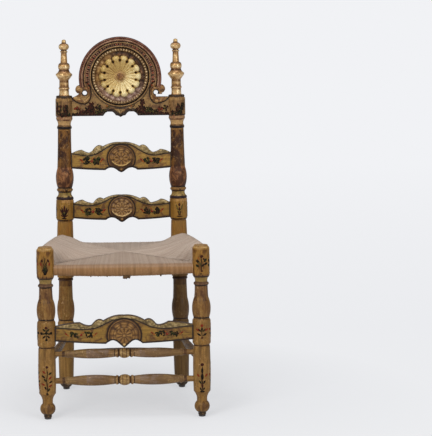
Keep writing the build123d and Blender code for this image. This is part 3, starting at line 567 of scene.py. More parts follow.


# Ramps for the medallions, from painted shade in the low carving to painted highlight on the high
carvingColours = {
    "brown": [(0.0, "#180C04"), (0.26, "#40240C"), (0.5, "#6A4820"), (0.74, "#986E36"), (1.0, "#D0AC6A")],
    "light": [(0.0, "#1A0E06"), (0.26, "#442812"), (0.5, "#75522C"), (0.74, "#A67F4A"), (1.0, "#D8B880")],
}
railCarving = {  # shared by the three carved rails
    "knobX": 74, "knobDrop": 12, "knob": 13, "knobLift": 3.4, "leafX": 119, "leaf": 8, "leafLift": 2.0,
    "bowlEnd": 29, "bowlHalf": 27.0, "bowlCurve": 13.0, "bowlLift": 4.2, "groove": 1.6, "grooveWidth": 1.1,
    "petalLift": 3.0, "innerLift": 2.6, "bossLift": 3.0, "boss": 6, "ringLift": 2.2, "bowlReach": 34,
    "tipLift": 3.0, "tip": 5, "tipRise": 9, "field": 0.9, "medalLift": 1.2,
}


def boardSteps(s):  # the same outline as the CAD board
    top, bottom, k, hump, pendant = s["top"], s["bottom"], s["spread"], s["hump"], s["pendant"]
    return [
        (0, top + hump, 0), (k * 56, top + s["knob"] - 3, 0.28 * (hump - s["knob"]) + 2),
        (k * 87, top + s["knob"] - 15, 9), (k * 98, top, -1), (k * 119, top + 9, -1.5),
        (s["half"] - 8, top, 2), (s["half"], top, 0), (s["half"], bottom, 0), (s["half"] - 8, bottom, 0),
        (k * 49, bottom - 0.46 * pendant, -1), (k * 30.5, bottom + 0.1 * pendant, 2),
        (k * 12, bottom - 0.5 * pendant, 2), (0, bottom - pendant, -1),
    ]


def smoothCurve(keys):  # a curve through (x, y) keys, read by interpolation
    keys = np.array([(-k[0], k[1]) for k in keys[:0:-1]] + list(keys), float)
    xs = np.linspace(keys[0, 0], keys[-1, 0], 400)
    ys = np.interp(xs, keys[:, 0], keys[:, 1])
    window = np.hanning(25)
    padded = np.pad(ys, 12, mode="edge")
    return xs, np.convolve(padded, window / window.sum(), "valid")


def carvedRail(name, s):
    steps = boardSteps(s)
    loop = traceEdge(steps, 1) + traceEdge(steps, -1)[::-1]
    c = railCarving
    top, bottom, k = s["top"], s["bottom"], s["spread"]
    curveX, curveY = smoothCurve([(k * u, top + v) for u, v in s["groove"]])
    medalY, medalR = bottom + s["medalRise"], s["medalRadius"]

    def grooveGap(x, y):
        slope = (np.interp(x + 1, curveX, curveY) - np.interp(x - 1, curveX, curveY)) / 2
        return (y - np.interp(x, curveX, curveY)) / np.sqrt(1 + slope ** 2)

    def bowlLine(x):  # the crescent under the flower
        return medalY - s["bowl"] + c["bowlCurve"] * (x / c["bowlHalf"]) ** 2

    def lift(x, y):
        rho, theta = np.hypot(x, y - medalY), np.arctan2(x, y - medalY)
        gap = grooveGap(x, y)
        inside = rise(medalR - rho, -0.6, 0.8)
        h = c["field"] * rise(gap, 0.5, 2.5) * (1 - inside)
        for side in (-1, 1):
            knob = np.hypot(x - side * k * c["knobX"], y - (top + s["knob"] - c["knobDrop"]))
            h = h + c["knobLift"] * dome(knob, c["knob"]) * (1 + 0.16 * np.cos(knob * 1.5))
            leaf = np.hypot((x - side * k * c["leafX"]) / 1.5, y - top - 2)
            h = h + c["leafLift"] * dome(leaf, c["leaf"])
        petals = s["petals"]
        outer = np.abs(np.cos(theta * petals / 2)) ** 0.6 * rise(rho, medalR * 0.42, medalR * 0.5)
        outer = outer * rise(medalR * 0.86 - rho, 0, 3)
        inner = np.abs(np.sin(theta * petals / 2)) ** 0.6 * rise(rho, 5, 8) * rise(medalR * 0.5 - rho, 0, 3)
        boss = dome(rho, c["boss"])
        ring = bell(rho - medalR * 0.93, 1.8)
        flower = c["petalLift"] * outer * (0.75 + 0.25 * np.cos(rho * 0.9)) + c["innerLift"] * inner
        flower = flower + c["bossLift"] * boss + c["ringLift"] * ring
        bowlGap = np.where(np.abs(x) < c["bowlEnd"], np.abs(y - bowlLine(x)), 50.0)
        bowl = bell(bowlGap, 2.3) * c["bowlLift"]
        below = rise(bowlLine(x) - y, 0, 2)
        flower = flower * (1 - below * (np.abs(x) < c["bowlReach"])) + bowl
        tip = c["tipLift"] * dome(np.hypot(x, y - bottom + s["pendant"] - c["tipRise"]), c["tip"])
        return h + inside * (c["medalLift"] + flower) + tip

    def relief(x, y, d):
        rho = np.hypot(x, y - medalY)
        grooves = c["groove"] * bell(grooveGap(x, y), c["grooveWidth"]) * (rho > medalR - 2)
        grooves = grooves + c["groove"] * bell(rho - medalR - 1.2, c["grooveWidth"]) * (y > bottom - 3)
        return s["thick"] / 2 + lift(x, y) - grooves - wornEdge(d)

    def line(x, y, d, z):
        rho = np.hypot(x, y - medalY)
        gap = np.abs(grooveGap(x, y)) + 30 * (rho < medalR - 1)
        ring = np.abs(rho - medalR - 1.2) + 30 * (y < bottom + 1)
        low = np.where((y < bottom + s["edgeLine"] + 2) & (rho > 12),
                       np.maximum(-d - s["edgeLine"] + 1.5, 0), 50)
        end = np.maximum(s["shown"] - np.abs(x), 0)
        return np.minimum.reduce([gap, ring, low, end])

    fields = {
        "line": line,
        "rim": lambda x, y, d, z: grooveGap(x, y),
        "medal": lambda x, y, d, z: medalR - np.hypot(x, y - medalY),
        "lift": lambda x, y, d, z: lift(x, y),
    }
    box = (-s["half"] - 2, s["half"] + 2, bottom - s["pendant"] - 3, top + s["hump"] + 3)
    paint = boardMaterial(f"{name}Paint", *s["paints"], ("#5E4E2C", "#8E784A", "#B09866", "#D6BE8C"),
                          carvingColours[s["carving"]], (-0.5, 5.2))
    carveBoard(name, box, lambda x, y: edgeDistance(x, y, loop), relief, s["place"], s["thick"] / 2,
               paint, [s["node"]], fields)


upperRail = {
    "node": "upper_back_rail", "place": backPoint,
    "half": 156.0, "bottom": 683.0, "top": 730.0, "spread": 1.0,
    "hump": 31.5, "knob": 22.0, "pendant": 13.0, "thick": 20.0, "medalRise": 29.0,
    "medalRadius": 42.0, "bowl": 22.0, "petals": 9, "edgeLine": 5.6, "shown": 151.5,
    "groove": [(0, 27), (30, 23.5), (45, 14), (60, 5), (75, -3), (90, -8), (105, -9), (120, -6.5),
               (135, -3.5), (150, -2)],
    "paints": ("#A8823A", "#7A552A"), "carving": "brown",
}
lowerRail = {
    "node": "lower_back_rail", "place": backPoint,
    "half": 151.4, "bottom": 530.0, "top": 577.0, "spread": 1.0,
    "hump": 23.0, "knob": 14.0, "pendant": 13.0, "thick": 20.0, "medalRise": 27.0,
    "medalRadius": 40.0, "bowl": 22.0, "petals": 11, "edgeLine": 5.2, "shown": 146.5,
    "groove": [(0, 19), (30, 15), (45, 7), (60, 0), (75, -5), (90, -8), (105, -9), (120, -7),
               (135, -5), (150, -4)],
    "paints": ("#9A7630", "#6E4A24"), "carving": "light",
}
frontRail = {
    "node": "carved_front_stretcher", "place": frontPoint, "half": 202.0, "bottom": 230.0, "top": 273.0,
    "spread": 1.07, "hump": 29.0, "knob": 16.5, "pendant": 20.0, "thick": 25.0, "medalRise": 15.0,
    "medalRadius": 49.0, "bowl": 60.0, "petals": 10, "edgeLine": 4.6, "shown": 198.0,
    "groove": [(0, 22), (30, 17.5), (45, 10), (60, 2), (75, -4), (90, -8), (105, -9), (120, -9),
               (150, -6), (180, -3), (190, -3)],
    "paints": ("#98742F", "#6A4722"), "carving": "brown",
}
for name, settings in (("upperRail", upperRail), ("lowerRail", lowerRail), ("frontRail", frontRail)):
    carvedRail(name, settings)
print("carved rails made")


# Crest: a board with volutes, and turned mouldings about the roundel

crest = {
    "shown": 150.5, "hoodCentre": 957.0, "hoodRadius": 125.5, "ringCentre": 963.0, "hole": 90.0,
    "foot": 924.0, "lobeX": 123.7, "lobe": 12.5, "eyeX": 108.0, "eyeY": 913.0,
    "eye": 6.8, "scrollIn": 19.5, "scrollOut": 44.0, "scrollTall": 33.0, "slitY": 903.6, "slit": 4.2,
    "face": 12.0, "band": 14.4, "bandRadius": 106.8, "under": 9.5, "groove": 1.8, "grooveWidth": 1.2,
    "scrollLift": 0.8, "rollLift": 4.2, "ballLift": 8.0, "ball": 13.5, "fleurTop": 875,
}
crestSteps = [
    (0, 918, 0), (98, 918, 0), (123, 912, 0), (147, 899, -2), (155, 899, 0), (155, 843, 0), (53, 843, 0),
    (39, 855.5, 2.5), (27, 855.5, 0), (15, 844.5, 2.5), (7, 843, 0), (0, 839, 0),
]
crestLoop = traceEdge(crestSteps, 1) + traceEdge(crestSteps, -1)[::-1]


def crestShape(x, y):
    c = crest
    board = edgeDistance(x, y, crestLoop)
    disc = np.maximum(np.hypot(x, y - c["hoodCentre"]) - c["hoodRadius"] + 1.5, c["foot"] - 12 - y)
    eye = c["eye"] - np.hypot(np.abs(x) - c["eyeX"], y - c["eyeY"])
    slit = np.maximum(c["eyeX"] - x, np.abs(y - c["slitY"]) - c["slit"])  # only the right eye opens outwards
    hole = c["hole"] - np.hypot(x, y - c["ringCentre"])
    return np.maximum.reduce([np.minimum.reduce([board, disc, lobeGap(x, y)]), eye, hole, -slit])


def scrollReach(x, y):  # one on the scroll's dark outline, less inside it
    c = crest
    across = np.abs(x) - c["eyeX"]
    wide = np.where(across > 0, c["scrollOut"], c["scrollIn"])
    return np.hypot(across / wide, (y - c["eyeY"]) / c["scrollTall"])


def scrollGap(x, y):  # distance to the outline along the ray from the eye, positive outside
    reach = np.maximum(scrollReach(x, y), 0.02)
    return np.hypot(np.abs(x) - crest["eyeX"], y - crest["eyeY"]) * (1 - 1 / reach)


def lobeGap(x, y):
    return np.hypot(np.abs(x) - crest["lobeX"], y - crest["foot"]) - crest["lobe"]


def bandGap(x, y):  # positive on the painted band inside the hood's mouldings
    inside = crest["bandRadius"] - np.hypot(x, y - crest["hoodCentre"])
    return np.minimum.reduce([inside, y - crest["foot"] - 4, scrollGap(x, y)])


def crestLift(x, y):
    around = np.hypot(np.abs(x) - crest["eyeX"], y - crest["eyeY"])
    outline = around / np.maximum(scrollReach(x, y), 0.02)
    way = np.clip((around - crest["eye"]) / (outline - crest["eye"]), 0, 1)
    rolls = crest["scrollLift"] + crest["rollLift"] * np.abs(np.sin(math.tau * way)) ** 0.65
    lobe = lobeGap(x, y)
    scroll = rise(-scrollGap(x, y), 0, 2) * rolls * rise(lobe, -2, 1)
    ball = crest["ballLift"] * dome(lobe + crest["lobe"], crest["ball"]) * rise(-lobe, -1, 1)
    fleur = 2.4 * bell(fleurLine(x, y), 2.2) + 3.4 * dome(np.hypot(x, y - 847), 6)
    return scroll + ball + fleur * (y < crest["fleurTop"])


def fleurLine(x, y):  # two carved stalks that part upwards from the pendant, and a curl over each cut-out
    stalk = np.where((y > 846) & (y < 870), np.abs(np.abs(x) - 2.0 - 0.020 * (y - 846) ** 2), 50.0)
    curl = np.abs(np.hypot(np.abs(x) - 25, y - 851) - 15.5) + np.where(y < 857, 20.0, 0.0)
    return np.minimum(stalk, curl)


def crestRelief(x, y, d):
    c = crest
    grooves = c["groove"] * bell(scrollGap(x, y), c["grooveWidth"])
    face = c["face"] + (c["band"] - c["face"]) * rise(bandGap(x, y), -1, 4)
    hood = np.hypot(x, y - c["hoodCentre"])
    under = rise(hood - c["bandRadius"], 0, 1.5) * rise(y, c["foot"] + 5, c["foot"] + 8)
    under = under * rise(lobeGap(x, y), -1, 1)  # let in below the hood's mouldings
    return face * (1 - under) + c["under"] * under + crestLift(x, y) * (1 - under) - grooves - wornEdge(d)


def crestLines(x, y, d, z):
    c = crest
    behind = (np.hypot(x, y - c["hoodCentre"]) > c["bandRadius"]) * (y > c["foot"])
    scroll = np.abs(scrollGap(x, y)) + 30 * behind
    low = np.where(y < 870, np.maximum(-d - 4.2, 0), 50)
    second = np.where((y < 867) & (np.abs(x) < 60), np.abs(-d - 8.0) + 0.4, 50)
    end = np.maximum(c["shown"] - np.abs(x), 0)
    eye = np.maximum(np.hypot(np.abs(x) - c["eyeX"], y - c["eyeY"]) - c["eye"] - 0.6, 0.4)
    # a painted shadow round the outside of the ring, where it stands on the board
    ring = np.abs(np.hypot(x, y - c["ringCentre"]) - 94.0) + 0.9
    lobe = np.abs(lobeGap(x, y)) + np.where((np.abs(x) > c["lobeX"] - 4) | (y > c["foot"]), 50, 0.6)
    fleur = fleurLine(x, y)
    shade = np.where((fleur > 3.0) & (fleur < 4.8) & (y < 868) & (np.abs(x) < 45), 1.2, 50)
    return np.minimum.reduce([scroll, low, second, end, eye, ring, lobe, shade])


crestPaint = boardMaterial("crestPaint", "#9C7A48", "#6E4C2C", ("#5A4424", "#80522C", "#A8824A", "#CDAA70"),
                           [(0.0, "#5C3E28"), (0.35, "#8C6446"), (0.7, "#A87E60"), (1.0, "#C29E80")],
                           (-1.5, 1.5))
carveBoard(
    "crestBoard", (-157, 157, 836, 1085), crestShape, crestRelief, backPoint, crest["face"], crestPaint,
    ["crest_rail"], {
        "line": crestLines,
        # the fleur's raised stalks take the pale rim colours as painted highlight
        "rim": lambda x, y, d, z: np.maximum.reduce([-scrollGap(x, y), -lobeGap(x, y),
                                                     np.where(y < 876, 2.0 - fleurLine(x, y), -9)]),
        "medal": lambda x, y, d, z: bandGap(x, y),
        "lift": lambda x, y, d, z: crestLift(x, y),
    })


def polarPiece(name, radii, angles, height, material, replaced, fields, back, centreY):
    points, values, faces = [], {k: [] for k in fields}, []
    for side in (0, 1):  # the face, then the back
        for angle in angles:
            for r in radii(angle):
                out = back if side else height(r, angle)
                points.append(backPoint(r * math.sin(angle), centreY + r * math.cos(angle), out))
                for k in values:
                    values[k].append(fields[k](r, angle))
    rows, ring = len(radii(0.0)), len(angles)
    count = len(points) // 2
    for i in range(ring):
        n = (i + 1) % ring
        for j in range(rows - 1):
            a, b, c, d = i * rows + j, i * rows + j + 1, n * rows + j + 1, n * rows + j
            faces += [(a, b, c, d), (d + count, c + count, b + count, a + count)]
        for j in (0, rows - 1):
            faces.append((i * rows + j, n * rows + j, n * rows + j + count, i * rows + j + count))
    return meshPiece(name, points, faces, material, replaced, values)


hoodProfile = [
    (106.6, 9.0), (106.6, 14.6), (107.2, 16.0), (108.0, 16.4), (109.0, 15.8), (109.8, 14.4), (110.8, 13.6),
    (112.0, 13.8), (112.8, 15.0), (113.4, 17.0), (114.6, 18.5), (116.6, 18.8), (118.0, 17.6),
    (118.8, 16.2), (119.6, 16.4), (120.8, 18.2), (122.4, 19.2), (124.0, 18.4), (125.2, 16.2),
    (125.5, 13.0), (125.5, 9.0), (125.5, -11.6), (106.6, -11.6),
]
ringProfile = [
    (0.5, -11.8), (0.5, 7.2), (30.0, 7.2), (56.0, 7.2), (58.5, 7.2), (61.0, 7.2), (63.5, 7.2), (66.0, 7.2),
    (68.5, 7.2), (71.0, 7.2), (73.5, 7.2), (75.0, 7.4), (76.0, 8.8), (77.0, 10.4), (78.2, 11.0),
    (82.4, 11.2), (83.2, 12.0), (84.0, 12.0), (84.6, 10.4), (85.4, 8.6), (86.8, 8.4), (87.6, 10.0),
    (88.2, 13.2), (89.2, 15.2), (90.6, 15.6), (91.8, 14.8), (92.6, 13.6), (92.8, 12.0), (92.8, -11.8),
]


def radialMaterial(name, centreY, bands, patches, recess):
    material, tree, shader = newMaterial(name)
    local = objectCoords(tree, backPoint(0, centreY, 0), (-rake, 0, 0))
    x, _, z = axes(tree, local)
    radius = awayFrom(tree, x, z)
    flutter = noise(tree, local, 90, 3)
    level = calc(tree, "DIVIDE", sway(tree, flutter, 0.0016, radius), 0.13)
    cloud = noise(tree, local, 52, 5, 0.66, 0.9)
    colour = bandedPaint(tree, level, 130, bands, patches, cloud, (0.45, 0.6))
    colour = rubbed(tree, local, colour, (170, 0.56, 0.68), (24, 0.42, 0.62), 0.55, "#B79A7C")
    if recess:  # golden brown to the left, dusty rose below the flower
        floor = span(tree, radius, 0.078, 0.0755)
        left = span(tree, sway(tree, flutter, 0.04, x), -0.01, -0.05)
        tint = noise(tree, local, 120, 4, 0.6, 1.0)
        golden = ramp(tree, tint, [(0.3, "#664218"), (0.5, "#A27A40"), (0.7, "#CCA66C")])
        colour = mix(tree, calc(tree, "MULTIPLY", calc(tree, "MULTIPLY", left, floor), 0.75), colour, golden)
        # The dusty rose below the flower is partly the recess's own paint and partly painted light on the
        # lower floor; the top keeps the dark ground as painted shade
        low = span(tree, sway(tree, flutter, 0.03, z), -0.018, -0.052)
        dusty = ramp(tree, tint, [(0.3, "#644234"), (0.46, "#A88474"), (0.58, "#CCB0A0"), (0.72, "#E6D4C6")])
        colour = mix(tree, calc(tree, "MULTIPLY", calc(tree, "MULTIPLY", low, floor), 0.85), colour, dusty)
        # painted shade between the carved leaves of the floor
        shade = ramp(tree, attribute(tree, "paintedShading"), [(0.0, "#3E2C20"), (0.4, "#B0A090"), (0.85, "#FFFFFF")])
        colour = mix(tree, 1.0, colour, shade, "MULTIPLY")
    coat(tree, shader, colour, span(tree, cloud, 0.3, 0.7, 0.36, 0.58), 0.2)
    bump(tree, shader, cloud, 0.3, 0.001)
    return material


# Over the mouldings' oxblood paint, the bands are darker in the grooves as painted shade and paler on the
# ridges as painted highlight
hoodBands = [
    (0, "#6A4A30"), (106.2, "#24160D"), (106.9, "#7A5A38"), (109.2, "#42281A"), (110.0, "#160C07"),
    (112.6, "#583625"), (113.8, "#74503A"), (118.0, "#2C1710"), (119.6, "#583222"), (123.4, "#40241A"),
    (124.8, "#241410"),
]
hoodPatches = [
    (0, "#6A4A30"), (106.2, "#2E1E14"), (106.9, "#9A7C52"), (109.2, "#543624"), (110.0, "#20120B"),
    (112.6, "#6E4838"), (113.8, "#967258"), (118.0, "#40241A"), (119.6, "#744A3A"), (123.4, "#5C3828"),
    (124.8, "#36201A"),
]
# Near black in the ring's groove as painted shade, with a paler rim on the ridge as painted highlight
ringBands = [
    (0, "#553719"), (60, "#4A2E16"), (68, "#3A2210"), (75.6, "#523A1E"), (83.4, "#5E4426"),
    (84.6, "#120B07"), (88.0, "#54391F"), (89.0, "#7A5C38"), (91.9, "#4E361E"),
]
ringPatches = [
    (0, "#3E2610"), (60, "#745034"), (68, "#5E4026"), (75.6, "#6E5030"), (83.4, "#745634"),
    (84.6, "#0E0806"), (88.0, "#66492A"), (89.0, "#9A7A4C"), (91.9, "#654A2C"),
]
hoodPaint = radialMaterial("hoodPaint", crest["hoodCentre"], hoodBands, hoodPatches, False)
ringPaint = radialMaterial("ringPaint", crest["ringCentre"], ringBands, ringPatches, True)
hoodArch = spunProfile("roundelArch", hoodProfile, crest["hoodCentre"], math.radians(207), 138)
dressPiece(hoodArch, hoodPaint, ["crest_rail"])


floorLeaf = {"count": 10, "from": 55.0, "reach": 21.0, "inner": 56, "outer": 76, "height": 2.6}


def floorLeaves(r, a):  # shallow uneven leaves carved round the floor of the recess
    wave = abs(math.cos(a * floorLeaf["count"] + 0.7 * math.sin(a * 3) + 0.5 * math.sin(a * 7 + 1))) ** 0.8
    swell = math.sin(math.pi * min(max((r - floorLeaf["from"]) / floorLeaf["reach"], 0.0), 1.0))
    return wave * max(0.0, swell) * (0.8 + 0.2 * math.sin(a * 5 + r * 0.4))


ringPiece = spunProfile("roundelRing", ringProfile, crest["ringCentre"], math.tau, 240)
outward = (backPoint(0, 0, 1) - backPoint(0, 0, 0)) * floorLeaf["height"]
paintedShading = []
for vertex, r, a in roundelPlaces(ringPiece, crest["ringCentre"]):
    onFloor = floorLeaf["inner"] <= r <= floorLeaf["outer"]
    leaf = floorLeaves(r, a) if onFloor else 0.0
    # painted shade: the floor is darkest where it lies low between the leaves
    paintedShading.append(0.25 + 0.85 * leaf if onFloor else 1.0)
    vertex.co += outward * leaf
dressPiece(ringPiece, ringPaint, ["crest_rail"], {"paintedShading": paintedShading})

# Beads round the inside of the ring: one is shaped, then copied
beading = {"count": 60, "radius": 3.1, "ring": 80.2, "out": 11.4}
bpy.ops.mesh.primitive_uv_sphere_add(segments=10, ring_count=7, radius=beading["radius"] / 1000)
bpy.ops.object.mode_set(mode="EDIT")
bpy.ops.mesh.select_all(action="SELECT")
bpy.ops.transform.resize(value=(1.0, 0.8, 1.15))
bpy.ops.object.mode_set(mode="OBJECT")
master = bpy.context.object
beadPoints = [v.co.copy() for v in master.data.vertices]
beadFaces = [tuple(f.vertices) for f in master.data.polygons]
bpy.data.objects.remove(master)
points, faces = [], []
for i in range(beading["count"]):
    angle = math.tau * (i + 0.5) / beading["count"]
    size = random.uniform(0.85, 1.12)
    middle = backPoint(beading["ring"] * math.sin(angle),
                       crest["ringCentre"] + beading["ring"] * math.cos(angle), beading["out"])
    turn = Matrix.Rotation(angle, 3, "Y")
    start = len(points)
    points += [middle + turn @ (p * size) for p in beadPoints]
    faces += [tuple(v + start for v in f) for f in beadFaces]
beadGilt = giltMaterial("beadGilt", "#CDB58A", "#8E6E44", "#3A2616", 0.2)
meshPiece("roundelBeads", points, faces, beadGilt, ["crest_rail"])
print("crest made")


# Rosette: channelled petals about a dished middle

rosette = {"petals": 14, "radius": 63.5, "notch": 54.5, "pit": 48.5, "floor": 7.9, "button": 15.1,
           "hollow": 11.6, "dish": 11.4, "back": 7.15, "bowlFrom": 13.0, "bowlReach": 38.0,
           "curl": 6.0, "curlFrom": 53.0, "steps": 14, "rows": 44}


def petalPlace(angle):  # from -1 to 1 across a petal
    turn = angle * rosette["petals"] / math.tau
    return 2 * (turn - math.floor(turn)) - 1


def pitAt(r, across, size):  # the round pits bored between the petals
    return math.exp(-((r - rosette["pit"]) ** 2 + ((1 - abs(across)) * 10.9) ** 2) / size ** 2)


def petalRadii(angle):
    across = petalPlace(angle)
    petal = math.sqrt(max(0.0, 1 - across ** 2 * 0.96))
    tip = rosette["notch"] + (rosette["radius"] - rosette["notch"]) * petal
    rows = rosette["rows"]
    return [0.8 + (tip - 0.8) * (j / (rows - 1)) ** 0.9 for j in range(rows)]


def petalHeight(r, angle):
    across = petalPlace(angle)
    tip = petalRadii(angle)[-1]
    seat = (rosette["button"] - rosette["hollow"]) * (1 - float(rise(r, 9.5, 14.0)))  # the button's boss
    bowlWay = min(max(r - rosette["bowlFrom"], 0.0) / rosette["bowlReach"], 1.0)
    bowl = rosette["hollow"] + seat + rosette["dish"] * bowlWay ** 1.15
    curl = rosette["curl"] * (max(0.0, r - rosette["curlFrom"]) / 10.0) ** 1.8
    rib = abs(math.cos(math.pi * across / 2)) ** 0.55
    crease = 1.5 * bell(across / 0.26, 1.0) * min(1.0, r / 16.0) * (1.0 if r < 50 else max(0.0, (56 - r) / 6))
    depth = 0.6 + 2.2 * min(1.0, r / 40.0) + 3.0 * float(rise(r, 42.0, 54.0))
    pit = 9.0 * pitAt(r, across, 2.8)
    edge = 2.6 * math.exp(-((tip - r) / 1.2)) if r > 40 else 0.0
    ribs = (rib - 0.5) * depth * float(rise(r, 9.5, 15.0))
    return max(rosette["floor"], bowl + ribs - crease - curl - pit - edge)


def rosetteMaterial():
    material, tree, shader = newMaterial("rosetteGilt")
    local = objectCoords(tree)
    wear = noise(tree, local, 120, 4, 0.65, 0.5)
    # Painted shade and highlight: dark in the pits and creases, light along the petal ribs and to the lower
    # right
    depth = sway(tree, wear, 0.7, attribute(tree, "paintedShading"))
    colour = ramp(tree, depth, [(0.0, "#24140A"), (0.2, "#6A4820"), (0.42, "#9A7638"), (0.66, "#B59654"),
                                (0.92, "#DAC692")])
    middle = span(tree, sway(tree, wear, 0.012, attribute(tree, "radius")), 0.012, 0.021, 0.85, 0.0)
    colour = mix(tree, middle, colour, ramp(tree, wear, [(0.35, "#7A4E26"), (0.6, "#B08A54")]))
    coat(tree, shader, colour, span(tree, wear, 0.3, 0.7, 0.34, 0.52), metal=0.12)
    bump(tree, shader, noise(tree, local, 380, 4, 0.6), 0.2, 0.0005)
    return material


# Shading painted into the petals: highlight along each rib, shade in the creases, the pits and between the
# petals
def petalShade(r, angle):
    across = petalPlace(angle)
    rib = abs(math.cos(math.pi * across / 2)) ** 0.35
    reach = 0.3 + 0.5 * float(rise(r, 40.0, 54.0))
    pit = pitAt(r, across, 3.2)
    crease = 0.16 * bell(across / 0.2, 1.0) * float(rise(r, 10.0, 20.0)) * (1 - float(rise(r, 46.0, 52.0)))
    slope = 0.17 * math.cos(angle - 0.72 * math.pi) * min(1.0, r / 26.0)  # painted light: paler to the lower right and darker to the upper left, as the light falls on the dish
    return min(1.0, max(0.0, 0.7 + (rib - 0.85) * reach + slope - crease - 1.1 * pit))


rosetteTurns = rosette["petals"] * rosette["steps"]
rosetteAngles = [math.tau * i / rosetteTurns for i in range(rosetteTurns)]
polarPiece("rosetteCarving", petalRadii, rosetteAngles, petalHeight, rosetteMaterial(),
           ["crest_rosette"], {"paintedShading": petalShade, "radius": lambda r, a: r / 1000}, rosette["back"],
           crest["ringCentre"])
print("rosette made")


# Rush seat: cords wrapped over the rails, each running in to the seams that join the corners

rush = {
    "cord": 2.3, "pitch": 3.95, "sides": 6, "endRadius": 15.0, "sideRadius": 26.0, "frontRail": 436.0,
    "rearRail": 439.0, "sideFront": 477.0, "sideBack": 457.0, "sag": 33.0, "thick": 28.0, "slump": 5.0,
    "swell": 5.5, "tuck": 12.0, "legClear": 25.5, "postClear": 27.0, "seamBack": 14,
}
backRailY = chair["backY"] + rush["rearRail"] * math.tan(rake)
backHalf = chair["postX"] - rush["rearRail"] * math.tan(lean)
seatDepth = backRailY - chair["frontY"]
seamY = (chair["frontY"] + backRailY) / 2 + rush["seamBack"]  # where the four fields meet


def seatRun(y):  # nought over the front rail, one over the back one
    return min(max((y - chair["frontY"]) / seatDepth, 0.0), 1.0)


def seatHalf(y):
    return chair["legX"] + (y - chair["frontY"]) / seatDepth * (backHalf - chair["legX"])


def endRail(run):
    return rush["frontRail"] + run * (rush["rearRail"] - rush["frontRail"])


def sideRail(run):
    return rush["sideFront"] + run * (rush["sideBack"] - rush["sideFront"])


def seatTop(x, y):  # the saddle: level at the end rails, dished between the side ones
    run = seatRun(y)
    lift = 1 - (2 * run - 1) ** 4
    ends = endRail(run) + rush["endRadius"]
    dip = sideRail(0.5) + 0.8 * rush["sideRadius"] - rush["sag"]
    side = sideRail(run) + 0.8 * rush["sideRadius"]
    return ends + lift * (dip - ends) + lift * (side - dip) * min(abs(x) / seatHalf(y), 1.0) ** 2


def rollSwell(y):  # how far the roll over a side rail bulges, less at the legs, where it is drawn in
    front = 1 - float(rise(y - chair["frontY"] - rush["legClear"], -8, 56))
    return rush["swell"] * math.sin(math.pi * seatRun(y)) ** 0.8 - rush["tuck"] * front


def rollTop(y):  # its crest, rounded down next to the posts
    back = 1 - float(rise(backRailY - rush["postClear"] - y, -6, 34))
    return sideRail(seatRun(y)) + rush["sideRadius"] + rollSwell(y) - 9 * back


def rearTop(x, y):  # the dished top behind the seam, with a broad roll along each side
    edge = seatHalf(y)
    near = edge - abs(x)
    inside = 1 - float(rise(near, 18, 66))
    clear = 1 - (1 - float(rise(backRailY - y, -5, 30))) * float(rise(near, -4, 24))
    return seatTop(x, y) + (rollTop(y) - rush["cord"] - seatTop(edge, y)) * inside * clear


def saddleTop(x, y):  # in front the middle stays level and the sides run steeply down to it
    if y >= seamY:
        return rearTop(x, y)
    start = chair["frontY"] + rush["legClear"]
    share = min(max((y - start) / (seamY - start), 0.0), 1.0)
    seamX = (chair["legX"] - rush["legClear"]) * (1 - share ** 1.11)
    level = endRail(0) + rush["endRadius"]
    level += (rearTop(0, seamY) - level) * float(rise(y, chair["frontY"], seamY))
    t = min(max((abs(x) - seamX) / (seatHalf(y) - seamX), 0.0), 1.0)
    crown = min(t / (0.6 + 0.4 * share), 1.0)  # the cords leave the crest of the roll late, next to the leg
    slope = (1 - share) * crown * crown * (3 - 2 * crown) + share * t * t
    return level + (rollTop(y) - rush["cord"] - level) * slope


def seatBottom(x, y):
    run = seatRun(y)
    lift = 1 - (2 * run - 1) ** 4
    ends = endRail(run) - rush["endRadius"]
    dip = sideRail(0.5) + 0.8 * rush["sideRadius"] - rush["sag"] - rush["thick"]
    side = sideRail(run) - 0.8 * rush["sideRadius"]
    return ends + lift * (dip - ends) + lift * (side - dip) * min(abs(x) / seatHalf(y), 1.0) ** 2


def fieldDepth(start, share):  # a point part of the way from a rail to the seam
    return start + (seamY - start) * share


cordPoints, cordFaces, cordTone, cordWearAndShade, cordUv = [], [], [], [], []


def addCord(path, warm, tone, level):  # the middle line, how yellow each point is (on top of the front field partly painted shade), and a level direction
    ring, radius = rush["sides"], rush["cord"]
    start = len(cordPoints)
    run = 0.0
    for i, point in enumerate(path):
        before, after = path[max(i - 1, 0)], path[min(i + 1, len(path) - 1)]
        ahead = (after - before).normalized()
        if i:
            run += (point - path[i - 1]).length
        across = (level - ahead * level.dot(ahead)).normalized()
        upward = across.cross(ahead)
        thick = radius * (1 + 0.05 * math.sin(run * 0.21 + tone * 40))
        for k in range(ring):
            turn = math.tau * k / ring
            spoke = across * (math.cos(turn) * thick) + upward * (math.sin(turn) * thick)
            cordPoints.append((point + spoke) / 1000)
            cordTone.append(tone)
            cordWearAndShade.append(warm[i])
            cordUv.append((k / ring, run / 1000))
    for i in range(len(path) - 1):
        for k in range(ring):
            a, b = start + i * ring + k, start + i * ring + (k + 1) % ring
            cordFaces.append((a, b, b + ring, a + ring))
    cordFaces.append(tuple(range(start, start + ring))[::-1])
    cordFaces.append(tuple(range(start + (len(path) - 1) * ring, start + len(path) * ring)))


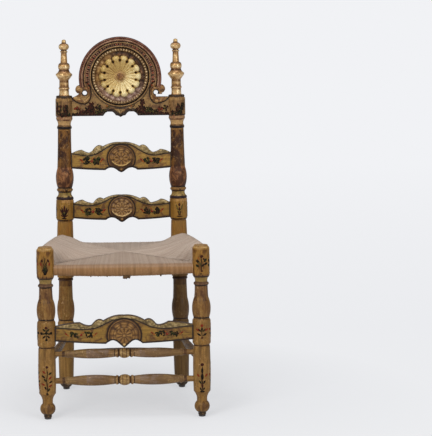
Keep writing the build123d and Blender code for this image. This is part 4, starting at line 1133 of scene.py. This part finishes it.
def endField(y0, clear, direction):  # direction 1 for the front rail, -1 for the back one
    half = seatHalf(y0) - clear
    rail = rush["frontRail"] if direction == 1 else rush["rearRail"]
    count = int(2 * half / (0.9 * rush["pitch"]))
    for n in range(count + 1):
        x0 = -half + 2 * half * n / count
        share = 1 - abs(x0) / half
        reach = fieldDepth(y0 + direction * clear, share ** 0.9) + direction * 3 + random.uniform(-1.5, 1.5)
        inner = x0 * (1 - 0.16 * share)  # the cords close up a little towards the seam
        tone = random.uniform(0.25, 0.85)
        jog = random.uniform(-0.3, 0.3)
        path, warm = [], []
        steps = max(3, int(abs(reach - y0) / 14))
        for i in range(steps):
            t = 1 - i / steps
            y = y0 + (reach - y0) * t
            x = x0 + (inner - x0) * t
            path.append(Vector((x, y, seatBottom(x, y) + 1.6 + (4 * t if i == 0 else 0))))
            warm.append(0.55)
        radius = rush["endRadius"] - rush["cord"] + jog * 0.6
        slump = rush["slump"] * (1 - (x0 / half) ** 2) if direction == 1 else 0.0
        for k in range(9):
            a = math.radians(-90 + 22.5 * k)
            drop = slump * max(0.0, -math.sin(a))
            path.append(Vector((x0 + jog, y0 - direction * math.cos(a) * radius,
                                rail + math.sin(a) * radius - drop)))
            warm.append(1.0 if math.sin(a) < 0.6 else 0.75)
        for i in range(1, steps + 1):
            t = i / steps
            y = y0 + (reach - y0) * t
            x = x0 + (inner - x0) * t
            settle = 1.5 if i < steps else 2.8
            wave = 0.3 * math.sin(t * 9 + tone * 20)
            path.append(Vector((x + jog * (1 - t), y, saddleTop(x, y) - settle + wave)))
            # the front field's top keeps a little brown as painted shade
            warm.append(max(0.16 if direction == 1 else 0.0, 0.4 - t * 1.6))
        addCord(path, warm, tone, Vector((1, 0, 0)))


def sideField(side):
    y0, y1 = chair["frontY"] + rush["legClear"], backRailY - rush["postClear"]
    count = int((y1 - y0) / rush["pitch"])
    for n in range(count + 1):
        y = y0 + (y1 - y0) * n / count
        rail = sideRail(seatRun(y))
        share = min((y - y0) / (seamY - y0), (y1 - y) / (y1 - seamY))
        edge = seatHalf(y)
        frontHalf, rearHalf = seatHalf(chair["frontY"]) - 25, seatHalf(backRailY) - 26
        half = (frontHalf if y < seamY else rearHalf) * (1 - share ** 1.11)
        reach = max(0.0, half - 2 + random.uniform(-1.5, 1.5))
        tone = random.random()
        jog = random.uniform(-0.3, 0.3)
        path, warm = [], []
        steps = max(5, int(abs(edge - reach) / 12))
        for i in range(steps):
            t = 1 - i / steps
            x = edge + (reach - edge) * t
            path.append(Vector((side * x, y, seatBottom(x, y) + 1.6)))
            warm.append(0.5)
        radius = rush["sideRadius"] - rush["cord"] + jog * 0.6
        top = rollTop(y) - rush["cord"]
        swell = rollSwell(y)
        for k in range(9):
            a = math.radians(-90 + 22.5 * k)
            tall = radius if math.sin(a) < 0 else top - rail
            path.append(Vector((side * (edge + math.cos(a) * (radius + swell)), y + jog,
                                rail + math.sin(a) * tall)))
            warm.append(0.4 if math.sin(a) < 0.2 else 0.1)
        for i in range(1, steps + 1):
            t = i / steps
            x = edge + (reach - edge) * t
            settle = 1.5 if i < steps else 2.0
            wave = 0.3 * math.sin(t * 9 + tone * 20)
            path.append(Vector((side * x, y + jog * (1 - t), saddleTop(x, y) - settle + wave)))
            warm.append(0.0)
        addCord(path, warm, tone, Vector((0, 1, 0)))


endField(chair["frontY"], rush["legClear"], 1)
endField(backRailY, rush["postClear"], -1)
sideField(-1)
sideField(1)

# Broken ends hanging under the front rail, most of them in one tuft
brokenEnds = {"count": 20, "tuft": 14, "middle": 9, "spread": 5, "far": 150}
for i in range(brokenEnds["count"]):
    inTuft = i < brokenEnds["tuft"]
    if inTuft:
        x = random.gauss(brokenEnds["middle"], brokenEnds["spread"])
    else:
        x = random.uniform(-brokenEnds["far"], brokenEnds["far"])
    y = chair["frontY"] + random.uniform(-9, 6)
    low = rush["frontRail"] - rush["endRadius"] - rush["slump"] * (1 - (x / 200) ** 2) + 2
    down = random.uniform(3.5, 8.5) if inTuft else random.uniform(1.5, 3)
    aside = random.uniform(-4, 4)
    path = [Vector((x, y, low + 3)), Vector((x + 0.3 * aside, y, low - 0.4 * down)),
            Vector((x + aside, y, low - down))]
    addCord(path, [1.6, 1.6, 1.6], 0.0, Vector((1, 0, 0)))


def rushMaterial():
    material, tree, shader = newMaterial("rushCord")
    uv = tree.nodes.new("ShaderNodeUVMap")
    uv.uv_map = "cordWay"
    local = objectCoords(tree)
    u, v, _ = axes(tree, uv.outputs[0])
    twist = calc(tree, "SINE", calc(tree, "ADD", calc(tree, "MULTIPLY", u, math.tau * 2),
                                    calc(tree, "MULTIPLY", v, 560.0)))
    fibre = noise(tree, stretch(tree, uv.outputs[0], (6, 60, 1)), 6, 4, 0.7)
    cloud = noise(tree, local, 16, 4, 0.6, 0.4)
    tone = attribute(tree, "tone")
    dry = ramp(tree, sway(tree, cloud, 0.9, tone),
               [(0.0, "#B3A091"), (0.35, "#BBA99A"), (0.6, "#C0AFA0"), (0.85, "#C6B5A6"), (1.0, "#BEAA9A")])
    warmColour = ramp(tree, sway(tree, cloud, 0.8, tone),
                      [(0.0, "#866340"), (0.4, "#967048"), (0.7, "#A67E56"), (1.0, "#8E6844")])
    colour = mix(tree, attribute(tree, "warm"), dry, warmColour)
    colour = mix(tree, 0.4, colour, ramp(tree, fibre, [(0.3, "#A8A09A"), (0.6, "#E8E2DC"), (0.8, "#FFFFFF")]),
                 "MULTIPLY")
    # painted shade in the creases of the twist
    crease = span(tree, twist, -1.0, -0.3, 0.12, 0.0)
    colour = mix(tree, crease, colour, "#5A4632")
    colour = mix(tree, span(tree, attribute(tree, "warm"), 1.1, 1.6, 0.0, 0.8), colour, "#4E3A24")
    coat(tree, shader, colour, 0.78, 0.25)
    first = bump(tree, shader, twist, 0.4, 0.0005)
    bump(tree, shader, fibre, 0.3, 0.0004, first)
    return material


# Straw between the two layers of rush
straw = {"across": 24, "along": 20, "side": 34.0, "front": 32.0, "back": 34.0, "skin": 7.0}
points, faces = [], []
for side in (0, 1):
    for j in range(straw["along"] + 1):
        start = chair["frontY"] + straw["front"]
        y = start + (backRailY - straw["back"] - start) * j / straw["along"]
        for i in range(straw["across"] + 1):
            x = (seatHalf(y) - straw["side"]) * (2 * i / straw["across"] - 1)
            low = seatBottom(x, y) + straw["skin"]
            top = max(saddleTop(x, y) - straw["skin"], low + 1)
            points.append(Vector((x, y, low if side else top)) / 1000)
row, half = straw["across"] + 1, len(points) // 2
for j in range(straw["along"]):
    for i in range(straw["across"]):
        a, b, c, d = j * row + i, j * row + i + 1, (j + 1) * row + i + 1, (j + 1) * row + i
        faces += [(a, b, c, d), (d + half, c + half, b + half, a + half)]
rim = list(range(row)) + [j * row + row - 1 for j in range(1, straw["along"] + 1)]
rim += [straw["along"] * row + i for i in range(row - 2, -1, -1)]
rim += [j * row for j in range(straw["along"] - 1, 0, -1)]
faces += [(b, a, a + half, b + half) for a, b in zip(rim, rim[1:] + rim[:1])]
strawMaterial = plainMaterial("straw", "#A48E62", "#5E4C2C", 0.85, squash=(1, 0.15, 1))
meshPiece("strawStuffing", points, faces, strawMaterial, ["seat_stuffing"])

rushWeave = meshPiece("rushWeave", cordPoints, cordFaces, rushMaterial(), ["rush_seat"],
                      {"tone": cordTone, "warm": cordWearAndShade})
uvLayer = rushWeave.data.uv_layers.new(name="cordWay")
corner = np.zeros(len(rushWeave.data.loops), np.int32)
rushWeave.data.loops.foreach_get("vertex_index", corner)
uvLayer.data.foreach_set("uv", np.array(cordUv, np.float32)[corner].ravel())
print("rush woven", len(cordFaces))


# Brushwork: each dab is one small mound of paint, copied and laid on the wood

paints = {
    "black": "#120C08", "green": "#20220F", "leaf": "#363818", "red": "#7A2A18", "oxblood": "#3C1A12",
    "orange": "#9A5622", "rose": "#A0644E", "plum": "#26130F", "olive": "#544A22",
}


def brushMaterial():
    material, tree, shader = newMaterial("brushwork")
    local = objectCoords(tree)
    worn = noise(tree, local, 260, 4, 0.65)
    colour = mix(tree, span(tree, worn, 0.54, 0.74, 0.0, 0.5), attribute(tree, "paint", "Color"), "#86643A")
    colour = mix(tree, 0.4, colour,
                 ramp(tree, noise(tree, local, 700, 3), [(0.3, "#8A8A8A"), (0.7, "#FFFFFF")]),
                 "MULTIPLY")
    coat(tree, shader, colour, span(tree, worn, 0.3, 0.7, 0.55, 0.75), 0.1)
    bump(tree, shader, noise(tree, local, 500, 3), 0.2, 0.0003)
    return material


brushwork = brushMaterial()


def leafOutline(length, width, count=6):
    half = []
    for i in range(count):
        s = -1 + 2 * i / (count - 1)
        half.append((width / 2 * max(0.0, 1 - s * s) ** 0.75, s * length / 2))
    return half + [(-x, y) for x, y in half[-2:0:-1]]


def spotOutline(radius, count=9):
    return [(radius * random.uniform(0.85, 1.1) * math.cos(math.tau * i / count),
             radius * random.uniform(0.85, 1.1) * math.sin(math.tau * i / count)) for i in range(count)]


def strokeOutline(points, width):
    left, right = [], []
    for i, (x, y) in enumerate(points):
        ax, ay = points[max(i - 1, 0)]
        bx, by = points[min(i + 1, len(points) - 1)]
        size = math.hypot(bx - ax, by - ay) or 1.0
        w = width / 2 * (0.55 if i in (0, len(points) - 1) else 1.0)
        left.append((x - (by - ay) / size * w, y + (bx - ax) / size * w))
        right.append((x + (by - ay) / size * w, y - (bx - ax) / size * w))
    return right + left[::-1]


def layDab(layer, outline, where, colour, thick=0.35):
    cx = sum(p[0] for p in outline) / len(outline)
    cy = sum(p[1] for p in outline) / len(outline)
    start, count = len(layer["points"]), len(outline)
    low = [where(x, y, -0.5) for x, y in outline]
    high = [where(cx + (x - cx) * 0.86, cy + (y - cy) * 0.86, thick) for x, y in outline]
    top = where(cx, cy, thick * 1.4)
    if None in low or None in high or top is None:
        return
    layer["points"] += low + high + [top]
    layer["colours"] += [hexColour(paints[colour])] * (2 * count + 1)
    for i in range(count):
        n = (i + 1) % count
        layer["faces"] += [(start + i, start + n, start + count + n, start + count + i),
                           (start + count + i, start + count + n, start + 2 * count)]
    layer["faces"].append(tuple(start + i for i in range(count))[::-1])


twins = {"leaves": "leaf", "spots": "spot", "strokes": "stroke"}


def dabsOf(motif):  # a plural kind stands for two dabs, one on each side
    for kind, across, up, length, width, angle, colour in motif:
        for side in (-1, 1) if kind in twins else (1,):
            yield twins.get(kind, kind), side * across, up, length, width, side * angle, colour


def layMotif(layer, where, motif, u, v, scale=1.0, mirror=1):
    for kind, du, dv, length, width, angle, colour in dabsOf(motif):
        turn = math.radians(angle)
        if kind == "leaf":
            outline = leafOutline(length, width)
        elif kind == "spot":
            outline = spotOutline(length / 2)
        else:
            outline = strokeOutline([(0.02 * math.sin(i * 1.6) * length, -length / 2 + length * i / 6)
                                     for i in range(7)], width)
        placed = [(u + mirror * scale * (du + x * math.cos(turn) + y * math.sin(turn)),
                   v + scale * (dv - x * math.sin(turn) + y * math.cos(turn))) for x, y in outline]
        if mirror < 0:
            placed.reverse()
        layDab(layer, placed, where, colour)


def newLayer():
    return {"points": [], "faces": [], "colours": []}


def finishLayer(layer, name):
    meshPiece(name, layer["points"], layer["faces"], brushwork, (),
              {"paint": np.array(layer["colours"])})


def surfaceOf(piece):
    return BVHTree.FromObject(piece, bpy.context.evaluated_depsgraph_get())


def turningPlace(tree, axisPoint, radius, turn):  # u runs round a turning, v up its axis
    def where(u, v, lift):
        angle = turn + u / radius
        outward = Vector((math.sin(angle), -math.cos(angle), 0))
        middle = axisPoint(v)
        hit, _, _, _ = tree.ray_cast(middle + outward * 0.08, -outward, 0.08)
        return None if hit is None else hit + outward * (lift / 1000)
    return where


def boardPlace(tree, place):  # u runs across the face of a board, v up it
    ahead = (place(0, 0, 1) - place(0, 0, 0)).normalized()

    def where(u, v, lift):
        hit, _, _, _ = tree.ray_cast(place(u, v, 60), -ahead, 0.09)
        return None if hit is None else hit + ahead * (lift / 1000)
    return where


# Motifs: kind, across, up, length, width, angle, paint
vase = [
    ("leaf", 0, -8, 26, 13, 0, "green"), ("leaves", 5, -14, 15, 6, 24, "black"),
    ("spot", 0, -21, 11, 11, 0, "black"), ("leaves", 10, 16, 14, 6, -28, "oxblood"),
    ("leaves", 13, 6, 13, 5.5, 18, "red"), ("stroke", 0, 14, 26, 2.6, 0, "green"),
    ("strokes", 5, 10, 22, 2.4, 16, "black"), ("leaf", 0, -2, 14, 3, 0, "olive"),
]
flowerSprig = [
    ("stroke", 0, -2, 46, 2.4, 0, "green"), ("spot", 1, 23, 10, 10, 0, "oxblood"),
    ("spot", 7, 15, 7, 7, 0, "oxblood"), ("leaf", -11, 8, 16, 9, -50, "black"),
    ("leaf", 12, 11, 16, 9, 46, "green"), ("leaf", 14, 1, 14, 8, 70, "black"),
    ("leaf", -12, -5, 15, 8, -62, "green"), ("leaf", -5, 2, 13, 6, -36, "olive"),
    ("leaf", 5, -3, 13, 6, 38, "black"), ("spot", 1, -20, 7, 7, 0, "oxblood"),
    ("spot", -1, -28, 5, 5, 0, "black"), ("leaf", -9, 17, 9, 4, -30, "orange"),
]
flameVase = [
    ("leaf", 0, -12, 20, 12, 0, "plum"), ("leaves", 5, -7, 15, 7, 34, "black"),
    ("leaf", 0, -22, 19, 6, 90, "plum"), ("leaf", 0, 6, 34, 7, 0, "oxblood"),
    ("leaves", 6, 3, 28, 6, 12, "plum"), ("leaves", 10, 1, 20, 5.5, 26, "oxblood"),
    ("leaf", 0, -3, 16, 5, 0, "olive"), ("leaves", 7, -14, 12, 5, 50, "oxblood"),
]
fadedVase = [
    ("leaf", 0, 18, 12, 8, 0, "oxblood"), ("leaves", 8, 12, 18, 4, 20, "olive"),
    ("leaves", 5, 3, 13, 4, 50, "olive"), ("leaf", 0, 4, 14, 6, 0, "oxblood"),
    ("leaf", 0, -8, 20, 10, 0, "olive"), ("leaves", 4, -7, 15, 4, 16, "oxblood"),
    ("leaf", 0, -20, 24, 5, 90, "plum"), ("leaf", 0, -15, 14, 4, 90, "oxblood"),
]
trefoil = [
    ("stroke", 0, -2, 32, 2.2, 0, "green"), ("spot", 0, 16, 9, 9, 0, "oxblood"),
    ("leaves", 5, 10, 12, 6, 46, "green"), ("spots", 13, 1, 9, 9, 0, "black"),
    ("leaves", 7, 0, 13, 5, -78, "green"), ("spot", 0, 2, 9, 9, 0, "black"),
    ("leaves", 6, -9, 13, 5, -46, "black"), ("spot", 0, -17, 8, 8, 0, "black"),
]
roseTrefoil = [
    ("stroke", 0, -2, 32, 2.2, 0, "green"), ("spot", 0, 16, 9, 9, 0, "red"),
    ("leaves", 12, 4, 13, 6, 62, "red"), ("leaf", -6, 3, 14, 5, -44, "black"),
    ("leaf", 6, 3, 14, 5, 44, "green"), ("leaves", 8, -9, 15, 6, 58, "black"),
    ("leaf", 0, 6, 14, 6, 0, "black"), ("spot", 0, -18, 7, 7, 0, "oxblood"),
]
tallSprig = [
    ("stroke", 0, 0, 78, 2.4, 0, "black"), ("spot", 0, 40, 9, 9, 0, "oxblood"),
    ("leaf", -9, 25, 14, 6, -52, "red"), ("leaf", 9, 21, 14, 6, 56, "green"),
    ("leaf", -11, 12, 15, 6, -60, "black"), ("leaf", 9, 8, 14, 6, 46, "red"),
    ("leaf", -6, 2, 14, 6, -36, "green"), ("leaf", 11, -4, 14, 6, 62, "black"),
    ("leaf", -12, -11, 15, 6, -66, "red"), ("leaf", 10, -15, 14, 6, 58, "red"),
    ("leaf", -5, -22, 13, 6, -30, "black"), ("leaf", 5, -27, 13, 6, 28, "green"),
    ("spot", 0, -40, 9, 9, 0, "black"),
]
darkSprig = [
    ("stroke", 0, -2, 84, 3.0, 0, "black"), ("spot", 0, 40, 11, 11, 0, "oxblood"),
    ("leaf", 0, 22, 22, 7, 0, "black"), ("leaves", 12, 8, 14, 6, 40, "red"),
    ("leaf", 0, 4, 24, 9, 0, "black"), ("leaf", -6, -12, 14, 6, -34, "green"),
    ("leaf", 6, -12, 14, 6, 34, "black"), ("leaf", 0, -22, 18, 6, 0, "oxblood"),
    ("leaf", 0, -40, 18, 8, 90, "black"), ("leaves", 5, -32, 12, 5, 30, "black"),
]


def scatterLeaves(layer, where, middle, spread, count, size, colours, lean=70):  # a loose mass of leaves
    for _ in range(count):
        away, turn = math.sqrt(random.random()), random.uniform(0, math.tau)
        length = size * random.uniform(0.7, 1.3)
        motif = [("leaf", 0, 0, length, length * random.uniform(0.4, 0.6), random.uniform(-lean, lean),
                  random.choice(colours))]
        layMotif(layer, where, motif, middle[0] + spread[0] * away * math.cos(turn),
                 middle[1] + spread[1] * away * math.sin(turn))


def brushTurning(node, name, axisPoint, radius, motifs, woods=()):
    tree = surfaceOf(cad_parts[node])
    layer = newLayer()
    for motif, height, turns, scale in motifs:
        for turn in turns:
            where = turningPlace(tree, axisPoint, radius, math.radians(turn))
            layMotif(layer, where, motif, 0, height, scale)
    for turn, middle, spread, count, size in woods:
        where = turningPlace(tree, axisPoint, radius, math.radians(turn))
        scatterLeaves(layer, where, middle, spread, count, size, ["plum", "black", "green", "oxblood"], 40)
    finishLayer(layer, name)


blockWoods = {  # dark trees on the blocks under the finials: turn, middle, spread, leaves, size
    "left": [(6, (2, 863), (7, 16), 40, 12), (6, (0, 850), (19, 5), 30, 11),
             (-42, (0, 866), (10, 20), 22, 12),
             (100, (0, 862), (12, 16), 22, 12), (190, (0, 864), (14, 16), 24, 12)],
    "right": [(14, (2, 862), (12, 15), 46, 12), (4, (-12, 851), (10, 6), 20, 10),
              (30, (6, 872), (7, 11), 16, 10),
              (-100, (0, 862), (12, 16), 22, 12), (190, (0, 864), (14, 16), 24, 12)],
}
for word, side in bothSides:
    def legAxis(height, side=side):
        return frontPoint(side * chair["legX"], height, 0)

    def postAxis(height, side=side):
        return postPoint(side, height)

    outer = side * 90
    left = side < 0
    brushTurning(f"{word}_front_leg", f"{word}LegBrushwork", legAxis, 25.0,
                 [(vase if left else flowerSprig, 452, (0, outer, 180), 1.0),
                  (trefoil if left else roseTrefoil, 256, (0, outer, 180), 1.05),
                  (tallSprig if left else darkSprig, 118, (0, outer, 180), 1.0)])
    brushTurning(f"{word}_back_post", f"{word}PostBrushwork", postAxis, 26.0,
                 [(flameVase if left else fadedVase, 554, (4 * side, outer), 0.95)], blockWoods[word])


def layGarland(layer, where, u, v, wide, tall, mirror):  # two clusters of leaves, bright tips and a rose
    for side in (-1, 1):
        for i in range(18):
            du = side * wide * random.uniform(0.09, 0.34)
            dv = tall * random.uniform(-0.34, 0.34)
            length = tall * random.uniform(0.4, 0.6)
            motif = [("leaf", du, dv, length, length * 0.5, random.uniform(-80, 80),
                      random.choice(["black", "green", "green", "leaf", "black", "plum"]))]
            layMotif(layer, where, motif, u, v, 1, mirror)
        layMotif(layer, where, [
            ("leaf", side * wide * 0.45, tall * 0.14, tall * 0.55, tall * 0.22, side * 56, "red"),
            ("leaf", side * wide * 0.39, -tall * 0.1, tall * 0.45, tall * 0.2, side * 70, "orange"),
        ], u, v, 1, mirror)
    layMotif(layer, where, [
        ("spot", 0, -tall * 0.04, tall * 0.42, 0, 0, "red"),
        ("spot", -tall * 0.05, tall * 0.02, tall * 0.2, 0, 0, "rose"),
        ("leaf", wide * 0.05, tall * 0.3, tall * 0.4, tall * 0.16, 60, "orange"),
        ("leaf", -wide * 0.06, -tall * 0.3, tall * 0.4, tall * 0.16, 80, "olive"),
    ], u, v, 1, mirror)


railGarlands = {
    "upperRail": (backPoint, [(-90, 706, 72, 25, 1), (92, 705, 68, 23, -1)]),
    "lowerRail": (backPoint, [(-88, 551, 76, 25, 1), (92, 551, 70, 24, -1)]),
    "frontRail": (frontPoint, [(-124, 249, 96, 20, 1), (124, 249, 96, 20, -1)]),
}
for name, (place, spots) in railGarlands.items():
    layer = newLayer()
    where = boardPlace(surfaceOf(bpy.data.objects[name]), place)
    for spot in spots:
        layGarland(layer, where, *spot)
    finishLayer(layer, f"{name}Brushwork")

# Trees along the foot of the crest: middle, spread, leaves, size, paints
darkLeaves = ["oxblood", "plum", "plum", "black", "oxblood"]
greenLeaves = ["black", "green", "green", "plum", "olive"]
crestWoods = [
    ((-104, 849), (46, 4), 60, 10, darkLeaves), ((104, 849), (46, 4), 60, 10, darkLeaves),
    ((-92, 862), (15, 11), 60, 10, darkLeaves), ((-88, 880), (6, 8), 18, 9, darkLeaves),
    ((-68, 862), (9, 16), 44, 9, greenLeaves), ((-56, 857), (14, 6), 28, 8, greenLeaves),
    ((-112, 855), (14, 5), 22, 9, darkLeaves),
    ((-130, 866), (9, 8), 16, 8, ["red", "oxblood", "olive", "plum"]),
    ((62, 862), (14, 12), 60, 10, darkLeaves), ((66, 884), (6, 10), 26, 9, darkLeaves),
    ((84, 860), (13, 9), 40, 9, greenLeaves), ((46, 857), (12, 5), 20, 8, greenLeaves),
    ((104, 855), (12, 5), 20, 8, ["black", "olive", "plum"]),
    ((121, 862), (8, 7), 14, 8, ["red", "oxblood", "oxblood"]),
    ((137, 866), (7, 8), 12, 8, ["olive", "plum", "black"]),
    ((-36, 872), (9, 5), 9, 7, ["olive", "plum", "orange"]),
    ((34, 874), (9, 5), 9, 7, ["olive", "plum", "orange"]),
]
crestLayer = newLayer()
crestPlace = boardPlace(surfaceOf(bpy.data.objects["crestBoard"]), backPoint)
for middle, spread, count, size, colours in crestWoods:
    scatterLeaves(crestLayer, crestPlace, middle, spread, count, size, colours)

# Square dabs round the painted band between the ring and the hood, dark ones with red ones between
bandDabs = {"count": 62, "from": -112, "to": 112, "inner": 92.8, "outer": 106.6}
for i in range(bandDabs["count"]):
    share = (i + 0.5) / bandDabs["count"]
    angle = math.radians(bandDabs["from"] + (bandDabs["to"] - bandDabs["from"]) * share)
    shift = crest["ringCentre"] - crest["hoodCentre"]
    inner = shift * math.cos(angle) + math.sqrt(bandDabs["inner"] ** 2 - (shift * math.sin(angle)) ** 2)
    r = (inner + bandDabs["outer"]) / 2 + random.uniform(-0.5, 0.5)
    dark = i % 2 == 0
    tall = min(9.0, 0.82 * (bandDabs["outer"] - inner)) * random.uniform(0.9, 1.05) * (1.0 if dark else 0.8)
    wide = random.uniform(4.8, 6.2) if dark else random.uniform(3.4, 4.6)
    dabColours = ["black", "plum", "oxblood"] if dark else ["red", "red", "oxblood"]
    centreX, centreY = r * math.sin(angle), crest["hoodCentre"] + r * math.cos(angle)
    outline = []
    for px, py in ((-1, -0.8), (0, -1), (1, -0.8), (1.05, 0), (0.95, 0.8), (0, 1), (-0.95, 0.8), (-1.05, 0)):
        px, py = px * wide / 2, py * tall / 2
        outline.append((centreX + px * math.cos(angle) + py * math.sin(angle),
                        centreY - px * math.sin(angle) + py * math.cos(angle)))
    layDab(crestLayer, outline, crestPlace, random.choice(dabColours))
finishLayer(crestLayer, "crestBrushwork")
print("brushwork laid")


# Stage, lamps and camera

bpy.ops.mesh.primitive_circle_add(vertices=96, radius=14, fill_type="NGON", location=(0, 0, 0))
floor = bpy.context.object
floor.name = "floor"
bpy.ops.object.mode_set(mode="EDIT")
bpy.ops.mesh.select_all(action="SELECT")
bpy.ops.mesh.inset(thickness=6.0)
bpy.ops.mesh.inset(thickness=5.5)
bpy.ops.object.mode_set(mode="OBJECT")
floor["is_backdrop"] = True
floorMaterial, tree, shader = newMaterial("paleFloor")
local = objectCoords(tree)
x, y, _ = axes(tree, local)
away = awayFrom(tree, x, y)
glow = tree.nodes.new("ShaderNodeEmission")
depthShade = ramp(tree, span(tree, y, -1.0, 6.0), [(0.0, "#ECEDEF"), (0.3, "#EBECEF"), (1.0, "#F1F2F5")])
tree.links.new(depthShade, glow.inputs["Color"])
rays = tree.nodes.new("ShaderNodeLightPath")
seen = calc(tree, "MAXIMUM", rays.outputs["Is Camera Ray"],
            calc(tree, "MAXIMUM", rays.outputs["Is Glossy Ray"], rays.outputs["Is Transmission Ray"]))
far = span(tree, away, 0.3, 0.95, 0.62, 1.0)
blendNode = tree.nodes.new("ShaderNodeMixShader")
shader.inputs["Base Color"].default_value = hexColour("#E6E6E8")
shader.inputs["Roughness"].default_value = 0.9
tree.links.new(calc(tree, "MULTIPLY", far, seen), blendNode.inputs[0])
tree.links.new(shader.outputs[0], blendNode.inputs[1])
tree.links.new(glow.outputs[0], blendNode.inputs[2])
tree.links.new(blendNode.outputs[0], tree.nodes["Material Output"].inputs["Surface"])
floor.data.materials.append(floorMaterial)

world = bpy.data.worlds.new("studio")
bpy.context.scene.world = world
world.use_nodes = True
tree = world.node_tree
backdrop = tree.nodes["Background"]
rays = tree.nodes.new("ShaderNodeLightPath")
seen = calc(tree, "MAXIMUM", rays.outputs["Is Camera Ray"], rays.outputs["Is Transmission Ray"])
tree.links.new(mix(tree, seen, "#D8DCE2", "#F1F2F5"), backdrop.inputs["Color"])
tree.links.new(span(tree, seen, 0, 1, 0.55, 1.0), backdrop.inputs["Strength"])

lamps = [
    ("keyLamp", (-1.9, -3.2, 2.9), 1.6, 74.0, (1.0, 0.985, 0.96)),
    ("fillLamp", (2.3, -3.4, 1.9), 1.8, 46.0, (0.97, 0.98, 1.0)),
    ("topLamp", (0.0, -0.6, 3.4), 1.8, 34.0, (1.0, 1.0, 1.0)),
]
for name, spot, size, power, colour in lamps:
    bpy.ops.object.light_add(type="AREA", location=spot)
    lamp = bpy.context.object
    lamp.name = name
    lamp.data.size = size
    lamp.data.energy = power
    lamp.data.color = colour
    lamp.rotation_euler = (Vector((0, 0, 0.55)) - Vector(spot)).to_track_quat("-Z", "Y").to_euler()

cameraSettings = {"lens": 172.4, "place": (-0.027, -6.086, 1.428),
                  "pitch": 8.177, "heading": 2.874, "roll": 0.401}
bpy.ops.object.camera_add(location=cameraSettings["place"])
camera = bpy.context.object
camera.data.sensor_fit = "HORIZONTAL"
camera.data.sensor_width = 36
camera.data.lens = cameraSettings["lens"]
camera.data.clip_end = 60
camera.matrix_world = (
    Matrix.Translation(cameraSettings["place"])
    @ Matrix.Rotation(math.radians(-cameraSettings["heading"]), 4, "Z")
    @ Matrix.Rotation(math.radians(90 - cameraSettings["pitch"]), 4, "X")
    @ Matrix.Rotation(math.radians(-cameraSettings["roll"]), 4, "Z")
)
scene = bpy.context.scene
scene.camera = camera
scene.view_settings.view_transform = "Standard"

low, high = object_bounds()
print("scene ready")
